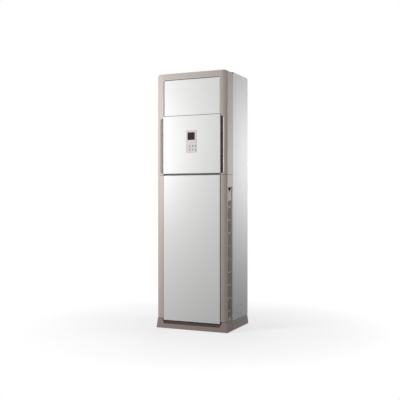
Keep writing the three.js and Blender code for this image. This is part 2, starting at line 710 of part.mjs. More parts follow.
function panelHook(x) {
  const top = LOWER_TOP - 2 + FIT;
  const front = LOWER_Y + WALL - 1;
  const back = HOOK_BAR_Y + BAR_T + HOOK_PLAY;
  const x0 = x - HOOK_W / 2;
  const x1 = x + HOOK_W / 2;
  const arm = block(x0, x1, front, back + HOOK_T, top, top + HOOK_T);
  const leg = block(x0, x1, back, back + HOOK_T, top - HOOK_LEG, top + HOOK_T);
  return join(arm, leg);
}

function lowerPanel() {
  const shell = panelShell(LOWER_X, LOWER_FOOT, LOWER_TOP, LOWER_Y, LOWER_DEPTH);
  const room = LOWER_X - WALL - 1;
  const headroom = block(-room, room, LOWER_Y + WALL, BODY_D, LOWER_TOP - WALL - 1, LOWER_TOP - HOOK_T);
  const trimmed = cut(shell, headroom);
  return join(trimmed, panelHook(-HOOK_X), panelHook(HOOK_X));
}

// ---------------------------------------------------------------- sheet steel casing
function sidePanel() {
  const y0 = COVER_Y + SEAM / 2;
  const z0 = PLINTH_H - WALL;
  const z1 = BODY_H - WALL - FIT;
  const skin = block(STEEL_X, SIDE_X, y0, REAR_Y, z0, z1);
  const fold = block(SIDE_X - SIDE_FOLD, SIDE_X, y0, y0 + SHEET, PLINTH_H + FIT, z1);
  return cut(join(skin, fold), knockoutSlot());
}

// The slot round the pipe knock-out, bridged by tabs
function knockoutSlot() {
  const z = PLINTH_H + KNOCK_RISE;
  const ring = (grow) => {
    const [l, h] = [KNOCK_L / 2 + grow, KNOCK_H / 2 + grow];
    return roundedRect(KNOCK_Y - l, KNOCK_Y + l, z - h, z + h, KNOCK_R + grow);
  };
  const x0 = STEEL_X - 1;
  const x1 = SIDE_X + 1;
  const slot = cut(alongX(ring(0), x0, x1, 2), alongX(ring(-KNOCK_SLOT), x0 - 1, x1 + 1, 2));
  const tabsAcross = block(
    x0 - 1, x1 + 1, KNOCK_Y - KNOCK_L, KNOCK_Y + KNOCK_L, z - KNOCK_TAB / 2, z + KNOCK_TAB / 2,
  );
  const tabsUp = block(
    x0 - 1, x1 + 1, KNOCK_Y - KNOCK_TAB / 2, KNOCK_Y + KNOCK_TAB / 2, z - KNOCK_H, z + KNOCK_H,
  );
  return cut(slot, tabsAcross, tabsUp);
}

function rearPanel() {
  const half = STEEL_X - FIT;
  const z0 = PLINTH_H + FIT;
  const z1 = BODY_H - WALL - FIT;
  const skin = block(-half, half, REAR_Y - SHEET, REAR_Y, z0, z1);
  const flange = block(half - SHEET, half, REAR_Y - REAR_FLANGE, REAR_Y, z0, z1);
  const swageX = half / 2;
  const swageBlock = (x, inset, y0, y1) => {
    const reach = SWAGE_W / 2 - inset;
    const [low, high] = [z0 + SWAGE_END + inset, z1 - SWAGE_END - inset];
    return block(x - reach, x + reach, y0, y1, low, high);
  };
  const swage = (x) => swageBlock(x, 0, REAR_Y - SWAGE_D - SHEET, REAR_Y - SHEET / 2);
  const swageRoom = (x) => swageBlock(x, SHEET, REAR_Y - SWAGE_D, REAR_Y + 1);
  const body = join(skin, flange, mirrored(flange), swage(-swageX), swage(swageX));
  return cut(body, swageRoom(-swageX), swageRoom(swageX));
}

function topCover() {
  const y0 = COVER_Y + SEAM / 2;
  const plate = roundedRect(-SIDE_X, SIDE_X, y0, REAR_Y, 2);
  const rimX = STEEL_X - SHEET - 3 * FIT;
  const rimY0 = y0 + SHEET + 2 * FIT;
  const rimY1 = REAR_Y - SHEET - 4;
  const rim = block(-rimX, rimX, rimY0, rimY1, BODY_H - WALL - 15, BODY_H - WALL + 1);
  const room = block(-rimX + 2, rimX - 2, rimY0 + 2, rimY1 - 2, BODY_H - WALL - 16, BODY_H - WALL + 0.5);
  return join(alongZ(plate, BODY_H - WALL, BODY_H, 2), cut(rim, room));
}

// ---------------------------------------------------------------- control field
const BEZEL_Y = CONTROL_Y - BEZEL_PROUD;
const BUTTON_Z = BEZEL_TOP - BUTTON_DROP;
const BOARD_Y = BEZEL_Y + BEZEL_CASE;

function buttonHole(column, row, grow) {
  const x = column * BUTTON_PITCH_X;
  const z = BUTTON_Z - row * BUTTON_PITCH_Z;
  const [w, h] = [BUTTON_W / 2 + grow, BUTTON_H / 2 + grow];
  return roundedRect(x - w, x + w, z - h, z + h, BUTTON_H / 3);
}

function controlBezel() {
  const half = BEZEL_W / 2 - FIT;
  const z0 = BEZEL_FOOT + FIT;
  const z1 = BEZEL_TOP - FIT;
  const plate = roundedRect(-half, half, z0, z1, 3);
  let body = alongY(plate, BEZEL_Y, BEZEL_Y + BEZEL_CASE - FIT, 2);
  const caseX = half - 2;
  const room = block(-caseX, caseX, BEZEL_Y + BEZEL_T, BODY_D, z0 + 2, z1 - 2);
  const windowTop = BEZEL_TOP - WINDOW_DROP;
  const window = block(
    -WINDOW_W / 2, WINDOW_W / 2, BEZEL_Y - 1, BEZEL_Y + BEZEL_T + 1, windowTop - WINDOW_H, windowTop,
  );
  body = cut(body, room, window);
  for (const column of [-1, 0, 1]) {
    for (const row of [0, 1]) {
      const hole = buttonHole(column, row, BUTTON_CLEAR);
      body = body.subtract(alongY(hole, BEZEL_Y - 1, BEZEL_Y + BEZEL_T + 1, 1));
    }
  }
  return body;
}

function displayWindow() {
  const top = BEZEL_TOP - WINDOW_DROP;
  const half = WINDOW_W / 2 - FIT;
  const lens = block(-half, half, BEZEL_Y + 0.8, BEZEL_Y + BEZEL_T + 1, top - WINDOW_H + FIT, top - FIT);
  const lip = 3;
  const flange = block(
    -half - lip, half + lip, BEZEL_Y + BEZEL_T + FIT, BEZEL_Y + BEZEL_T + 2, top - WINDOW_H - lip, top + lip,
  );
  return join(lens, flange);
}

function displayBoard() {
  const half = BEZEL_W / 2 - FIT - 2 - FIT;
  const z0 = BEZEL_FOOT + 3;
  const z1 = BEZEL_TOP - 3;
  const top = BEZEL_TOP - WINDOW_DROP;
  let body = block(-half, half, BOARD_Y - BOARD_T - FIT, BOARD_Y - FIT, z0, z1);
  const digits = block(
    -WINDOW_W / 2 + 4, WINDOW_W / 2 - 4, BEZEL_Y + BEZEL_T + 3, BOARD_Y - BOARD_T, top - WINDOW_H + 4, top - 4,
  );
  body = body.add(digits);
  for (const column of [-1, 0, 1]) {
    for (const row of [0, 1]) {
      const x = column * BUTTON_PITCH_X;
      const z = BUTTON_Z - row * BUTTON_PITCH_Z;
      body = body.add(block(x - 3, x + 3, BOARD_Y - BOARD_T - 3, BOARD_Y - BOARD_T, z - 3, z + 3));
    }
  }
  return body;
}

function button(column, row) {
  const x = column * BUTTON_PITCH_X;
  const z = BUTTON_Z - row * BUTTON_PITCH_Z;
  const lipY = BEZEL_Y + BEZEL_T + FIT;
  const cap = alongY(buttonHole(column, row, 0), BEZEL_Y, lipY + 1, 1);
  const w = BUTTON_W / 2 + BUTTON_LIP;
  const h = BUTTON_H / 2 + BUTTON_LIP;
  const lip = block(x - w, x + w, lipY, lipY + 1, z - h, z + h);
  const stemEnd = BOARD_Y - BOARD_T - 3 - BUTTON_TRAVEL - FIT;
  return join(cap, lip, block(x - 2, x + 2, lipY, stemEnd, z - 2, z + 2));
}

// ---------------------------------------------------------------- shutter door and its drive
const DOOR_Y = FACE_Y + DOOR_RECESS;
const DOOR_FOOT = CONTROL_TOP + SEAM;
const DOOR_TOP = OUTLET_TOP - DOOR_GAP;
const DOOR_DROP = DOOR_TOP - CONTROL_TOP - DOOR_LIP; // travel, measured straight down
const DOOR_X = OUTLET_X - DOOR_GAP;
const DRIVE_Y = FACE_Y + DRIVE_SETBACK;
const DRIVE_Z = CONTROL_TOP - DRIVE_DROP;
const PITCH_R = (GEAR_MODULE * PINION_TEETH) / 2;
const SLANT = Math.atan(DOOR_SLOPE);
const RACK_X1 = DOOR_X - DOOR_RAIL_W - 1;
const RACK_X0 = RACK_X1 - DOOR_RACK_W;
// The pitch line passes the drive axis at the pitch radius
const PITCH_LINE_Y = DRIVE_Y - PITCH_R / Math.cos(SLANT);
const pitchLineY = (z) => PITCH_LINE_Y - DOOR_SLOPE * (z - DRIVE_Z);
// The rail's rear edge runs between the rack and the drive shaft
const railLineY = (z) => DRIVE_Y - SHAFT_R - 3 - DOOR_SLOPE * (z - DRIVE_Z);
const pinLineY = (z) => railLineY(z) - DOOR_PIN_R - 3;
const PIN_LOW_Z = DOOR_FOOT + DOOR_PIN_IN;
const PIN_TOP_Z = DOOR_TOP - DOOR_PIN_IN;

// Rack teeth along the pitch line, one tooth centred at the foot of the drive axis
function rackOutline() {
  const pitch = Math.PI * GEAR_MODULE;
  const along = new THREE.Vector2(-Math.sin(SLANT), Math.cos(SLANT));
  const back = new THREE.Vector2(Math.cos(SLANT), Math.sin(SLANT));
  const foot = new THREE.Vector2(DRIVE_Y, DRIVE_Z).addScaledVector(back, -PITCH_R);
  const at = (s, h) => [foot.x + along.x * s + back.x * h, foot.y + along.y * s + back.y * h];
  const rootDepth = PINION_ADDENDUM + GEAR_ROOT_CLEAR;
  const lean = Math.tan(THREE.MathUtils.degToRad(PRESSURE_ANGLE));
  const half = pitch / 4 - BACKLASH / 4;
  const travel = DOOR_DROP / Math.cos(SLANT);
  const last = Math.ceil(travel / pitch) + 1;
  const points = [];
  for (let tooth = -1; tooth <= last; tooth += 1) {
    const s = tooth * pitch;
    points.push(at(s - half - rootDepth * lean, -rootDepth));
    points.push(at(s - half + RACK_ADDENDUM * lean, RACK_ADDENDUM));
    points.push(at(s + half - RACK_ADDENDUM * lean, RACK_ADDENDUM));
    points.push(at(s + half + rootDepth * lean, -rootDepth));
  }
  const front = DOOR_Y + DOOR_SKIN - 1;
  const top = points[points.length - 1];
  const low = points[0];
  return outline([...points, [front, top[1]], [front, DOOR_FOOT], [low[0] - 6, low[1]]]);
}

function doorRail() {
  const front = DOOR_Y + DOOR_SKIN - 1;
  const z0 = DOOR_FOOT + 2;
  const z1 = DOOR_TOP - OUTLET_CORNER;
  return outline([[front, z0], [railLineY(z0), z0], [railLineY(z1), z1], [front, z1]]);
}

function outletDoor() {
  const skin = roundedRect(-DOOR_X, DOOR_X, DOOR_FOOT, DOOR_TOP, OUTLET_CORNER - DOOR_GAP);
  let body = alongY(skin, DOOR_Y, DOOR_Y + DOOR_SKIN, 3);
  const ribPitch = (DOOR_TOP - DOOR_FOOT - 4 * OUTLET_CORNER) / (DOOR_RIBS - 1);
  for (let i = 0; i < DOOR_RIBS; i += 1) {
    const z = DOOR_FOOT + 2 * OUTLET_CORNER + i * ribPitch;
    const back = DOOR_Y + DOOR_SKIN + DOOR_RIB_H;
    body = body.add(block(-RACK_X0 - 1, RACK_X0 + 1, DOOR_Y + DOOR_SKIN - 1, back, z - 1, z + 1));
  }
  const rack = alongX(rackOutline(), RACK_X0, RACK_X1);
  const rail = alongX(doorRail(), RACK_X1 - 0.5, DOOR_X - 0.5);
  const pinX = CHEEK_X + DUCT_WALL - FIT;
  const lowPin = rodX(DOOR_X - 1, pinX, pinLineY(PIN_LOW_Z), PIN_LOW_Z, DOOR_PIN_R, 6);
  const topPin = rodX(DOOR_X - 1, pinX, pinLineY(PIN_TOP_Z), PIN_TOP_Z, DOOR_PIN_R, 6);
  const side = join(rack, rail, lowPin, topPin);
  return join(body, side, mirrored(side));
}

// Half the angle that a pinion tooth covers at a radius
function toothHalfAngle(radius) {
  const base = PITCH_R * Math.cos(THREE.MathUtils.degToRad(PRESSURE_ANGLE));
  const involute = (r) => {
    const angle = Math.acos(Math.min(1, base / Math.max(r, base)));
    return Math.tan(angle) - angle;
  };
  const atPitch = Math.PI / (2 * PINION_TEETH) - BACKLASH / (4 * PITCH_R);
  return atPitch + involute(PITCH_R) - involute(radius);
}

function pinionOutline() {
  const radii = [PITCH_R - RACK_ADDENDUM - GEAR_ROOT_CLEAR, PITCH_R, PITCH_R + PINION_ADDENDUM];
  const points = [];
  // a space faces the rack, which is in front of the drive axis
  const facing = Math.PI + SLANT;
  for (let tooth = 0; tooth < PINION_TEETH; tooth += 1) {
    const middle = facing + ((tooth + 0.5) * 2 * Math.PI) / PINION_TEETH;
    const flank = (radius, sign) => {
      const angle = middle + sign * toothHalfAngle(radius);
      return [DRIVE_Y + radius * Math.cos(angle), DRIVE_Z + radius * Math.sin(angle)];
    };
    for (const radius of radii) points.push(flank(radius, -1));
    for (const radius of [...radii].reverse()) points.push(flank(radius, 1));
  }
  return outline(points);
}

function doorDriveShaft() {
  const pinion = alongX(pinionOutline(), RACK_X0 + 0.5, RACK_X1 - 0.5);
  const shaft = rodX(-CHEEK_X - DUCT_WALL - 2, CHEEK_X + DUCT_WALL + 8, DRIVE_Y, DRIVE_Z, SHAFT_R, 10);
  return join(shaft, pinion, mirrored(pinion));
}

// A small flat gear motor on the outside of a cheek, round its output axis
function gearMotorX(x, y, z, side, bore) {
  const body = rodX(x, x + side * 20, y, z, 14, 12);
  const ears = block(Math.min(x, x + side * 2), Math.max(x, x + side * 2), y - 5, y + 5, z - 22, z + 22);
  const hole = rodX(x - 1, x + side * 12, y, z, bore, 8);
  return cut(join(body, ears), hole);
}

// ---------------------------------------------------------------- outlet duct
const CHEEK_FOOT_Z = CONTROL_TOP - CHEEK_FOOT;
const CHEEK_OUT = CHEEK_X + DUCT_WALL;
const DUCT_Y0 = FACE_Y + WALL + FIT;
const DUCT_Y1 = FACE_Y + DUCT_BACK;
const SILL_Y = FACE_Y + DUCT_SILL;
const FLANGE_Y = POCKET_Y + WALL + FIT;
const LOUVRE_Y = FACE_Y + LOUVRE_SETBACK;
const LOUVRE_X = CHEEK_X - LOUVRE_END;
const VANE_Y = FACE_Y + VANE_SETBACK;
const VANE_LOW = DUCT_FLOOR + DUCT_WALL + 1.5;
const VANE_HIGH = DUCT_CEILING - 1.5;

function louvreZ(index) {
  const low = CONTROL_TOP + LOUVRE_LOW_IN;
  const high = OUTLET_TOP - LOUVRE_TOP_IN;
  return low + (index * (high - low)) / (LOUVRE_COUNT - 1);
}

function vaneX(index) {
  const pitch = (2 * CHEEK_X) / VANE_COUNT;
  return (index - (VANE_COUNT - 1) / 2) * pitch;
}

function doorGuide() {
  const half = (DOOR_PIN_R + GUIDE_CLEAR) / Math.cos(SLANT);
  const low = PIN_LOW_Z - DOOR_DROP - DOOR_PIN_R - 2;
  const high = PIN_TOP_Z + DOOR_PIN_R + 1;
  const slot = outline([
    [pinLineY(low) - half, low], [pinLineY(low) + half, low],
    [pinLineY(high) + half, high], [pinLineY(high) - half, high],
  ]);
  return alongX(slot, CHEEK_X - 1, CHEEK_OUT + 1);
}

function ductCheek() {
  const step = CONTROL_TOP + 1 + WALL + FIT;
  const side = outline([
    [FLANGE_Y, CHEEK_FOOT_Z], [SILL_Y + DUCT_WALL, CHEEK_FOOT_Z], [SILL_Y + DUCT_WALL, DUCT_FLOOR],
    [DUCT_Y1, DUCT_FLOOR], [DUCT_Y1, DUCT_CEILING + DUCT_WALL], [DUCT_Y0, DUCT_CEILING + DUCT_WALL],
    [DUCT_Y0, step], [FLANGE_Y, step],
  ]);
  const flange = block(
    CHEEK_OUT - 1, CHEEK_OUT + DUCT_FLANGE, FLANGE_Y, FLANGE_Y + DUCT_WALL, CHEEK_FOOT_Z, CONTROL_TOP - 20,
  );
  let cheek = join(alongX(side, CHEEK_X, CHEEK_OUT), flange);
  cheek = cut(cheek, doorGuide());
  for (let i = 0; i < LOUVRE_COUNT; i += 1) {
    const radius = boreRadius(PIVOT_R, BEARING_CLEAR);
    cheek = cheek.subtract(rodX(CHEEK_X - 1, CHEEK_OUT + 1, LOUVRE_Y, louvreZ(i), radius, PIVOT_SIDES));
  }
  return cut(cheek, rodX(CHEEK_X - 1, CHEEK_OUT + 1, DRIVE_Y, DRIVE_Z, SHAFT_R + BEARING_CLEAR, 10));
}

function outletDuct() {
  const cheek = ductCheek();
  const x = CHEEK_OUT - 1;
  const ceiling = block(-x, x, DUCT_Y0, DUCT_Y1, DUCT_CEILING, DUCT_CEILING + DUCT_WALL);
  const sill = block(-x, x, SILL_Y, DUCT_Y1, DUCT_FLOOR, DUCT_FLOOR + DUCT_WALL);
  let duct = join(cheek, mirrored(cheek), ceiling, sill);
  for (let i = 0; i < VANE_COUNT; i += 1) {
    const radius = boreRadius(PIVOT_R, BEARING_CLEAR);
    const top = DUCT_CEILING + DUCT_WALL + 1;
    duct = duct.subtract(rodZ(vaneX(i), VANE_Y, DUCT_FLOOR - 1, VANE_LOW, radius, PIVOT_SIDES));
    duct = duct.subtract(rodZ(vaneX(i), VANE_Y, VANE_HIGH, top, radius, PIVOT_SIDES));
  }
  return duct;
}

// ---------------------------------------------------------------- louvre blades and vanes
const LOUVRE_DRIVEN = Math.floor(LOUVRE_COUNT / 2); // the middle blade carries the motor's drive
const VANE_DRIVEN = Math.floor(VANE_COUNT / 2);
const DRIVE_STUB = 8; // a driven pivot reaches this far into its motor

function louvreBlade(index) {
  const z = louvreZ(index);
  const half = LOUVRE_CHORD / 2;
  const section = new THREE.Shape();
  section.moveTo(LOUVRE_Y - half, z);
  section.quadraticCurveTo(LOUVRE_Y, z - LOUVRE_T, LOUVRE_Y + half, z - 0.4);
  section.lineTo(LOUVRE_Y + half, z + 0.4);
  section.quadraticCurveTo(LOUVRE_Y, z + LOUVRE_T, LOUVRE_Y - half, z);
  const blade = alongX(section, -LOUVRE_X, LOUVRE_X, 3);
  const reach = CHEEK_OUT - FIT;
  const stub = index === LOUVRE_DRIVEN ? CHEEK_OUT + DRIVE_STUB : reach;
  const left = rodX(-reach, -LOUVRE_X + 6, LOUVRE_Y, z, PIVOT_R, PIVOT_SIDES);
  const right = rodX(LOUVRE_X - 6, stub, LOUVRE_Y, z, PIVOT_R, PIVOT_SIDES);
  const crankEnd = LOUVRE_X + LINK_T + 3;
  const crank = rodX(-crankEnd, -LOUVRE_X + 6, LOUVRE_Y + LOUVRE_CRANK, z, CRANK_PIN_R, PIVOT_SIDES);
  return join(blade, left, right, crank);
}

function louvreLink() {
  const y = LOUVRE_Y + LOUVRE_CRANK;
  const x1 = -LOUVRE_X - 1;
  const x0 = x1 - LINK_T;
  const z0 = louvreZ(0) - LINK_W / 2;
  const z1 = louvreZ(LOUVRE_COUNT - 1) + LINK_W / 2;
  let bar = alongX(roundedRect(y - LINK_W / 2, y + LINK_W / 2, z0, z1, 3), x0, x1, 1);
  for (let i = 0; i < LOUVRE_COUNT; i += 1) {
    const radius = boreRadius(CRANK_PIN_R, BEARING_CLEAR);
    bar = bar.subtract(rodX(x0 - 1, x1 + 1, y, louvreZ(i), radius, PIVOT_SIDES));
  }
  return bar;
}

function airVane(index) {
  const x = vaneX(index);
  const [y0, y1] = [VANE_Y - VANE_CHORD / 2, VANE_Y + VANE_CHORD / 2];
  const notchY = VANE_Y + VANE_CRANK - LINK_W / 2 - 4;
  const notchZ = VANE_LOW + VANE_NOTCH;
  const face = outline([
    [y0, VANE_LOW], [notchY, VANE_LOW], [notchY, notchZ], [y1, notchZ], [y1, VANE_HIGH], [y0, VANE_HIGH],
  ]);
  const blade = alongX(face, x - VANE_T / 2, x + VANE_T / 2);
  const stub = index === VANE_DRIVEN ? DUCT_FLOOR - DRIVE_STUB : DUCT_FLOOR + FIT;
  const low = rodZ(x, VANE_Y, stub, VANE_LOW + 6, PIVOT_R, PIVOT_SIDES);
  const high = rodZ(x, VANE_Y, VANE_HIGH - 6, DUCT_CEILING + DUCT_WALL - FIT, PIVOT_R, PIVOT_SIDES);
  const crank = rodZ(x, VANE_Y + VANE_CRANK, VANE_LOW + 1, notchZ + 5, CRANK_PIN_R, PIVOT_SIDES);
  return join(blade, low, high, crank);
}

function vaneLink() {
  const y = VANE_Y + VANE_CRANK;
  const z0 = VANE_LOW + 3;
  const end = vaneX(VANE_COUNT - 1) + LINK_W / 2 + 2;
  let bar = alongZ(roundedRect(-end, end, y - LINK_W / 2, y + LINK_W / 2, 3), z0, z0 + LINK_T, 1);
  for (let i = 0; i < VANE_COUNT; i += 1) {
    const radius = boreRadius(CRANK_PIN_R, BEARING_CLEAR);
    bar = bar.subtract(rodZ(vaneX(i), y, z0 - 1, z0 + LINK_T + 1, radius, PIVOT_SIDES));
  }
  return bar;
}

function vaneMotor() {
  const z1 = DUCT_FLOOR - FIT;
  const x = vaneX(VANE_DRIVEN);
  const can = rodZ(x, VANE_Y, z1 - 20, z1, 14, 12);
  const ears = block(x - 22, x + 22, VANE_Y - 5, VANE_Y + 5, z1 - 2, z1);
  return cut(join(can, ears), rodZ(x, VANE_Y, z1 - 12, z1 + 1, PIVOT_R + BEARING_CLEAR));
}

// ---------------------------------------------------------------- partition and fan deck
const SCROLL_Y0 = FACE_Y + SCROLL_FRONT;
const WHEEL_Y0 = SCROLL_Y0 + WHEEL_CLEAR;
const WHEEL_Y1 = WHEEL_Y0 + WHEEL_W;
const SCROLL_Y1 = WHEEL_Y1 + WHEEL_CLEAR + SCROLL_T;
const SCROLL_TOP = DECK_Z - SHEET - FIT;
const INNER_X = STEEL_X - SHEET - 2 * FIT; // clear of the rear panel's flanges
const REAR_ROOM_Y = REAR_Y - SHEET - 4;

function pipeX(radius) {
  return INNER_X - 4 - radius;
}
const GAS_PIPE_Y = REAR_Y - PIPE_REAR;
const LIQUID_PIPE_Y = GAS_PIPE_Y - 30;

function partitionPlate() {
  const y1 = PARTITION_Y + SHEET;
  const wallTop = DUCT_FLOOR - FIT;
  const wallX = SIDE_X - WALL - FIT;
  const wall = block(-wallX, wallX, PARTITION_Y, y1, DECK_Z - SHEET, wallTop);
  const topFold = block(-wallX, wallX, PARTITION_Y, y1 + 5, wallTop - SHEET, wallTop);
  const deck = block(-INNER_X, INNER_X, PARTITION_Y, REAR_ROOM_Y - FIT, DECK_Z - SHEET, DECK_Z);
  const sideFold = block(INNER_X - SHEET, INNER_X, COVER_Y + 6, REAR_ROOM_Y - FIT, DECK_Z - 16, DECK_Z);
  const [left, right] = scrollMouth();
  const mouth = block(left, right, SCROLL_Y0, SCROLL_Y1 - SCROLL_T, DECK_Z - 5, DECK_Z + 5);
  const foldX = SIDE_X - SIDE_FOLD - FIT;
  const notch = block(foldX, BODY_W, COVER_Y, COVER_Y + SEAM + SHEET + FIT, DECK_Z - 5, DECK_Z + 5);
  const gas = rodZ(pipeX(GAS_PIPE_R), GAS_PIPE_Y, DECK_Z - 20, DECK_Z + 5, GAS_PIPE_R + 1, 12);
  const liquid = rodZ(pipeX(LIQUID_PIPE_R), LIQUID_PIPE_Y, DECK_Z - 20, DECK_Z + 5, LIQUID_PIPE_R + 1, 12);
  const sheet = join(wall, topFold, deck, sideFold, mirrored(sideFold));
  const frontNotch = block(wallX, BODY_W, PARTITION_Y - 1, COVER_Y + 1, DECK_Z - 5, DECK_Z + 5);
  return cut(sheet, mouth, notch, mirrored(notch), frontNotch, mirrored(frontNotch), gas, liquid);
}

// ---------------------------------------------------------------- blower
const SCROLL_R = WHEEL_R + SCROLL_GAP;

function scrollRadius(degrees) {
  return SCROLL_R + (SCROLL_GROW * (degrees - SCROLL_CUTOFF)) / (270 - SCROLL_CUTOFF);
}

// Left and right inner edges of the scroll's outlet
function scrollMouth() {
  const right = FAN_X + SCROLL_R * Math.sin(THREE.MathUtils.degToRad(SCROLL_CUTOFF));
  return [FAN_X - scrollRadius(270), right];
}

function scrollOutline(grow, top) {
  const [left, right] = scrollMouth();
  const points = [[left - grow, top]];
  const steps = 18;
  for (let i = 0; i <= steps; i += 1) {
    const degrees = 270 - (i * (270 - SCROLL_CUTOFF)) / steps;
    const angle = THREE.MathUtils.degToRad(degrees);
    const radius = scrollRadius(degrees) + grow;
    points.push([FAN_X + radius * Math.sin(angle), FAN_Z + radius * Math.cos(angle)]);
  }
  points.push([right + grow, points[points.length - 1][1] + 10]);
  points.push([right + grow, top]);
  return outline(points);
}

function scrollHousing() {
  const outside = alongY(scrollOutline(SCROLL_T, SCROLL_TOP), SCROLL_Y0, SCROLL_Y1);
  const inside = alongY(scrollOutline(0, SCROLL_TOP + 5), SCROLL_Y0 - 1, SCROLL_Y1 - SCROLL_T);
  const [left, right] = scrollMouth();
  const flange = block(
    left - 14, right + 14, SCROLL_Y0, SCROLL_Y1 + 12, SCROLL_TOP - SCROLL_T, SCROLL_TOP,
  );
  const motorHole = rodY(FAN_X, SCROLL_Y1 - 10, SCROLL_Y1 + 5, FAN_Z, HUB_R * 2, 16);
  return cut(join(outside, flange), inside, motorHole);
}

function inletRing() {
  const y1 = SCROLL_Y0 - FIT;
  const y0 = y1 - SCROLL_T;
  const plate = alongY(scrollOutline(SCROLL_T, SCROLL_TOP), y0, y1);
  const hole = rodY(FAN_X, y0 - 1, y1 + 1, FAN_Z, INLET_R + 8, 24);
  const mouth = turnedY([
    [INLET_R + 12, y0], [INLET_R + 3, y0 + 4], [INLET_R, y0 + INLET_LIP], [INLET_R + 2, y0 + INLET_LIP],
    [INLET_R + 12, y1], [INLET_R + 12, y0],
  ], FAN_X, FAN_Z, 24);
  return join(cut(plate, hole), mouth);
}

function wheelBlade(angle) {
  const inner = WHEEL_R - WHEEL_BLADE_DEPTH;
  const outer = WHEEL_R - 3;
  const middle = (inner + outer) / 2;
  // forward-curved: the outer edge leads in the direction of turning
  const spots = [[inner + 1, 0], [middle, 0.025], [outer, 0.09]];
  const half = WHEEL_BLADE_T / 2;
  const edge = (sign) => spots.map(([radius, lead]) => {
    const turn = angle - lead + (sign * half) / radius;
    return [FAN_X + radius * Math.cos(turn), FAN_Z + radius * Math.sin(turn)];
  });
  const shape = outline([...edge(-1), ...edge(1).reverse()]);
  return alongY(shape, WHEEL_Y0 + 1, WHEEL_Y1 - 1);
}

function blowerWheel() {
  const inner = WHEEL_R - WHEEL_BLADE_DEPTH;
  const rim = turnedY([
    [inner, WHEEL_Y0], [WHEEL_R, WHEEL_Y0], [WHEEL_R, WHEEL_Y0 + WHEEL_RIM_T],
    [inner, WHEEL_Y0 + WHEEL_RIM_T], [inner, WHEEL_Y0],
  ], FAN_X, FAN_Z, WHEEL_BLADES);
  const disc = turnedY([
    [0, WHEEL_Y1 - WHEEL_BACK], [HUB_R, WHEEL_Y1 - WHEEL_BACK], [HUB_R + 8, WHEEL_Y1 - WHEEL_RIM_T],
    [WHEEL_R, WHEEL_Y1 - WHEEL_RIM_T], [WHEEL_R, WHEEL_Y1], [0, WHEEL_Y1],
  ], FAN_X, FAN_Z, WHEEL_BLADES);
  const bore = rodY(FAN_X, WHEEL_Y0, WHEEL_Y1 + 5, FAN_Z, MOTOR_SHAFT_R + BEARING_CLEAR, 12);
  let wheel = join(rim, disc);
  for (let i = 0; i < WHEEL_BLADES; i += 1) {
    wheel = wheel.add(wheelBlade((i * 2 * Math.PI) / WHEEL_BLADES));
  }
  return cut(wheel, bore);
}

const MOTOR_Y0 = SCROLL_Y1 + FIT;
const MOTOR_Y1 = MOTOR_Y0 + MOTOR_L;

function fanMotor() {
  const can = turnedY([
    [0, MOTOR_Y0], [MOTOR_R, MOTOR_Y0], [MOTOR_R, MOTOR_Y1 - 14], [MOTOR_R - 10, MOTOR_Y1 - 4],
    [HUB_R, MOTOR_Y1], [0, MOTOR_Y1],
  ], FAN_X, FAN_Z, 18);
  const lugs = block(
    FAN_X - MOTOR_R - 16, FAN_X + MOTOR_R + 16, MOTOR_Y0, MOTOR_Y0 + 6, FAN_Z - 11, FAN_Z + 11,
  );
  const bore = rodY(FAN_X, MOTOR_Y0 - 1, MOTOR_Y1 - 20, FAN_Z, MOTOR_SHAFT_R + BEARING_CLEAR, 12);
  return cut(join(can, lugs), bore);
}

function motorShaft() {
  return rodY(FAN_X, WHEEL_Y1 - WHEEL_BACK - 2, MOTOR_Y1 - 22, FAN_Z, MOTOR_SHAFT_R, 12);
}

// A steel stand behind the motor: cross band, two arms to the scroll and two legs to the base pan
function motorBracket() {
  const y0 = MOTOR_Y1 + FIT;
  const y1 = y0 + BRACKET_T;
  const half = MOTOR_R + BRACKET_REACH;
  const [z0, z1] = [FAN_Z - BRACKET_W / 2, FAN_Z + BRACKET_W / 2];
  const band = block(FAN_X - half, FAN_X + half, y0, y1, z0, z1);
  const foot = PAN_FLOOR_Z + PAN_FLOOR_T + FIT;
  const side = (sign) => {
    const x = FAN_X + sign * half;
    const [x0, x1] = sign > 0 ? [x - BRACKET_T, x] : [x, x + BRACKET_T];
    const arm = block(x0, x1, SCROLL_Y1 + FIT, y1, z0, z1);
    const [w0, w1] = sign > 0 ? [x - BRACKET_W, x] : [x, x + BRACKET_W];
    const tab = block(w0, w1, SCROLL_Y1 + FIT, SCROLL_Y1 + FIT + BRACKET_T, z0, z1);
    const leg = block(w0, w1, y0, y1, foot, z1);
    const sole = block(w0, w1, y0 - BRACKET_SOLE, y1, foot, foot + BRACKET_T);
    return join(arm, tab, leg, sole);
  };
  return join(band, side(-1), side(1));
}

// ---------------------------------------------------------------- evaporator and drain
const COIL_FOOT_Y = FACE_Y + COIL_FOOT_SETBACK;
const COIL_FOOT_Z = DECK_Z + 2 * FIT + SCROLL_T + 8;
const COIL_LEAN = Math.asin((REAR_Y - COIL_HEAD_SETBACK - COIL_FOOT_Y) / COIL_L);
const COIL_X = STEEL_X - COIL_SIDE;

// A point of the coil's side view: along its length from the foot, and across it to the rear
function coilPoint(along, across) {
  const [s, c] = [Math.sin(COIL_LEAN), Math.cos(COIL_LEAN)];
  return [COIL_FOOT_Y + along * s + across * c, COIL_FOOT_Z + along * c - across * s];
}

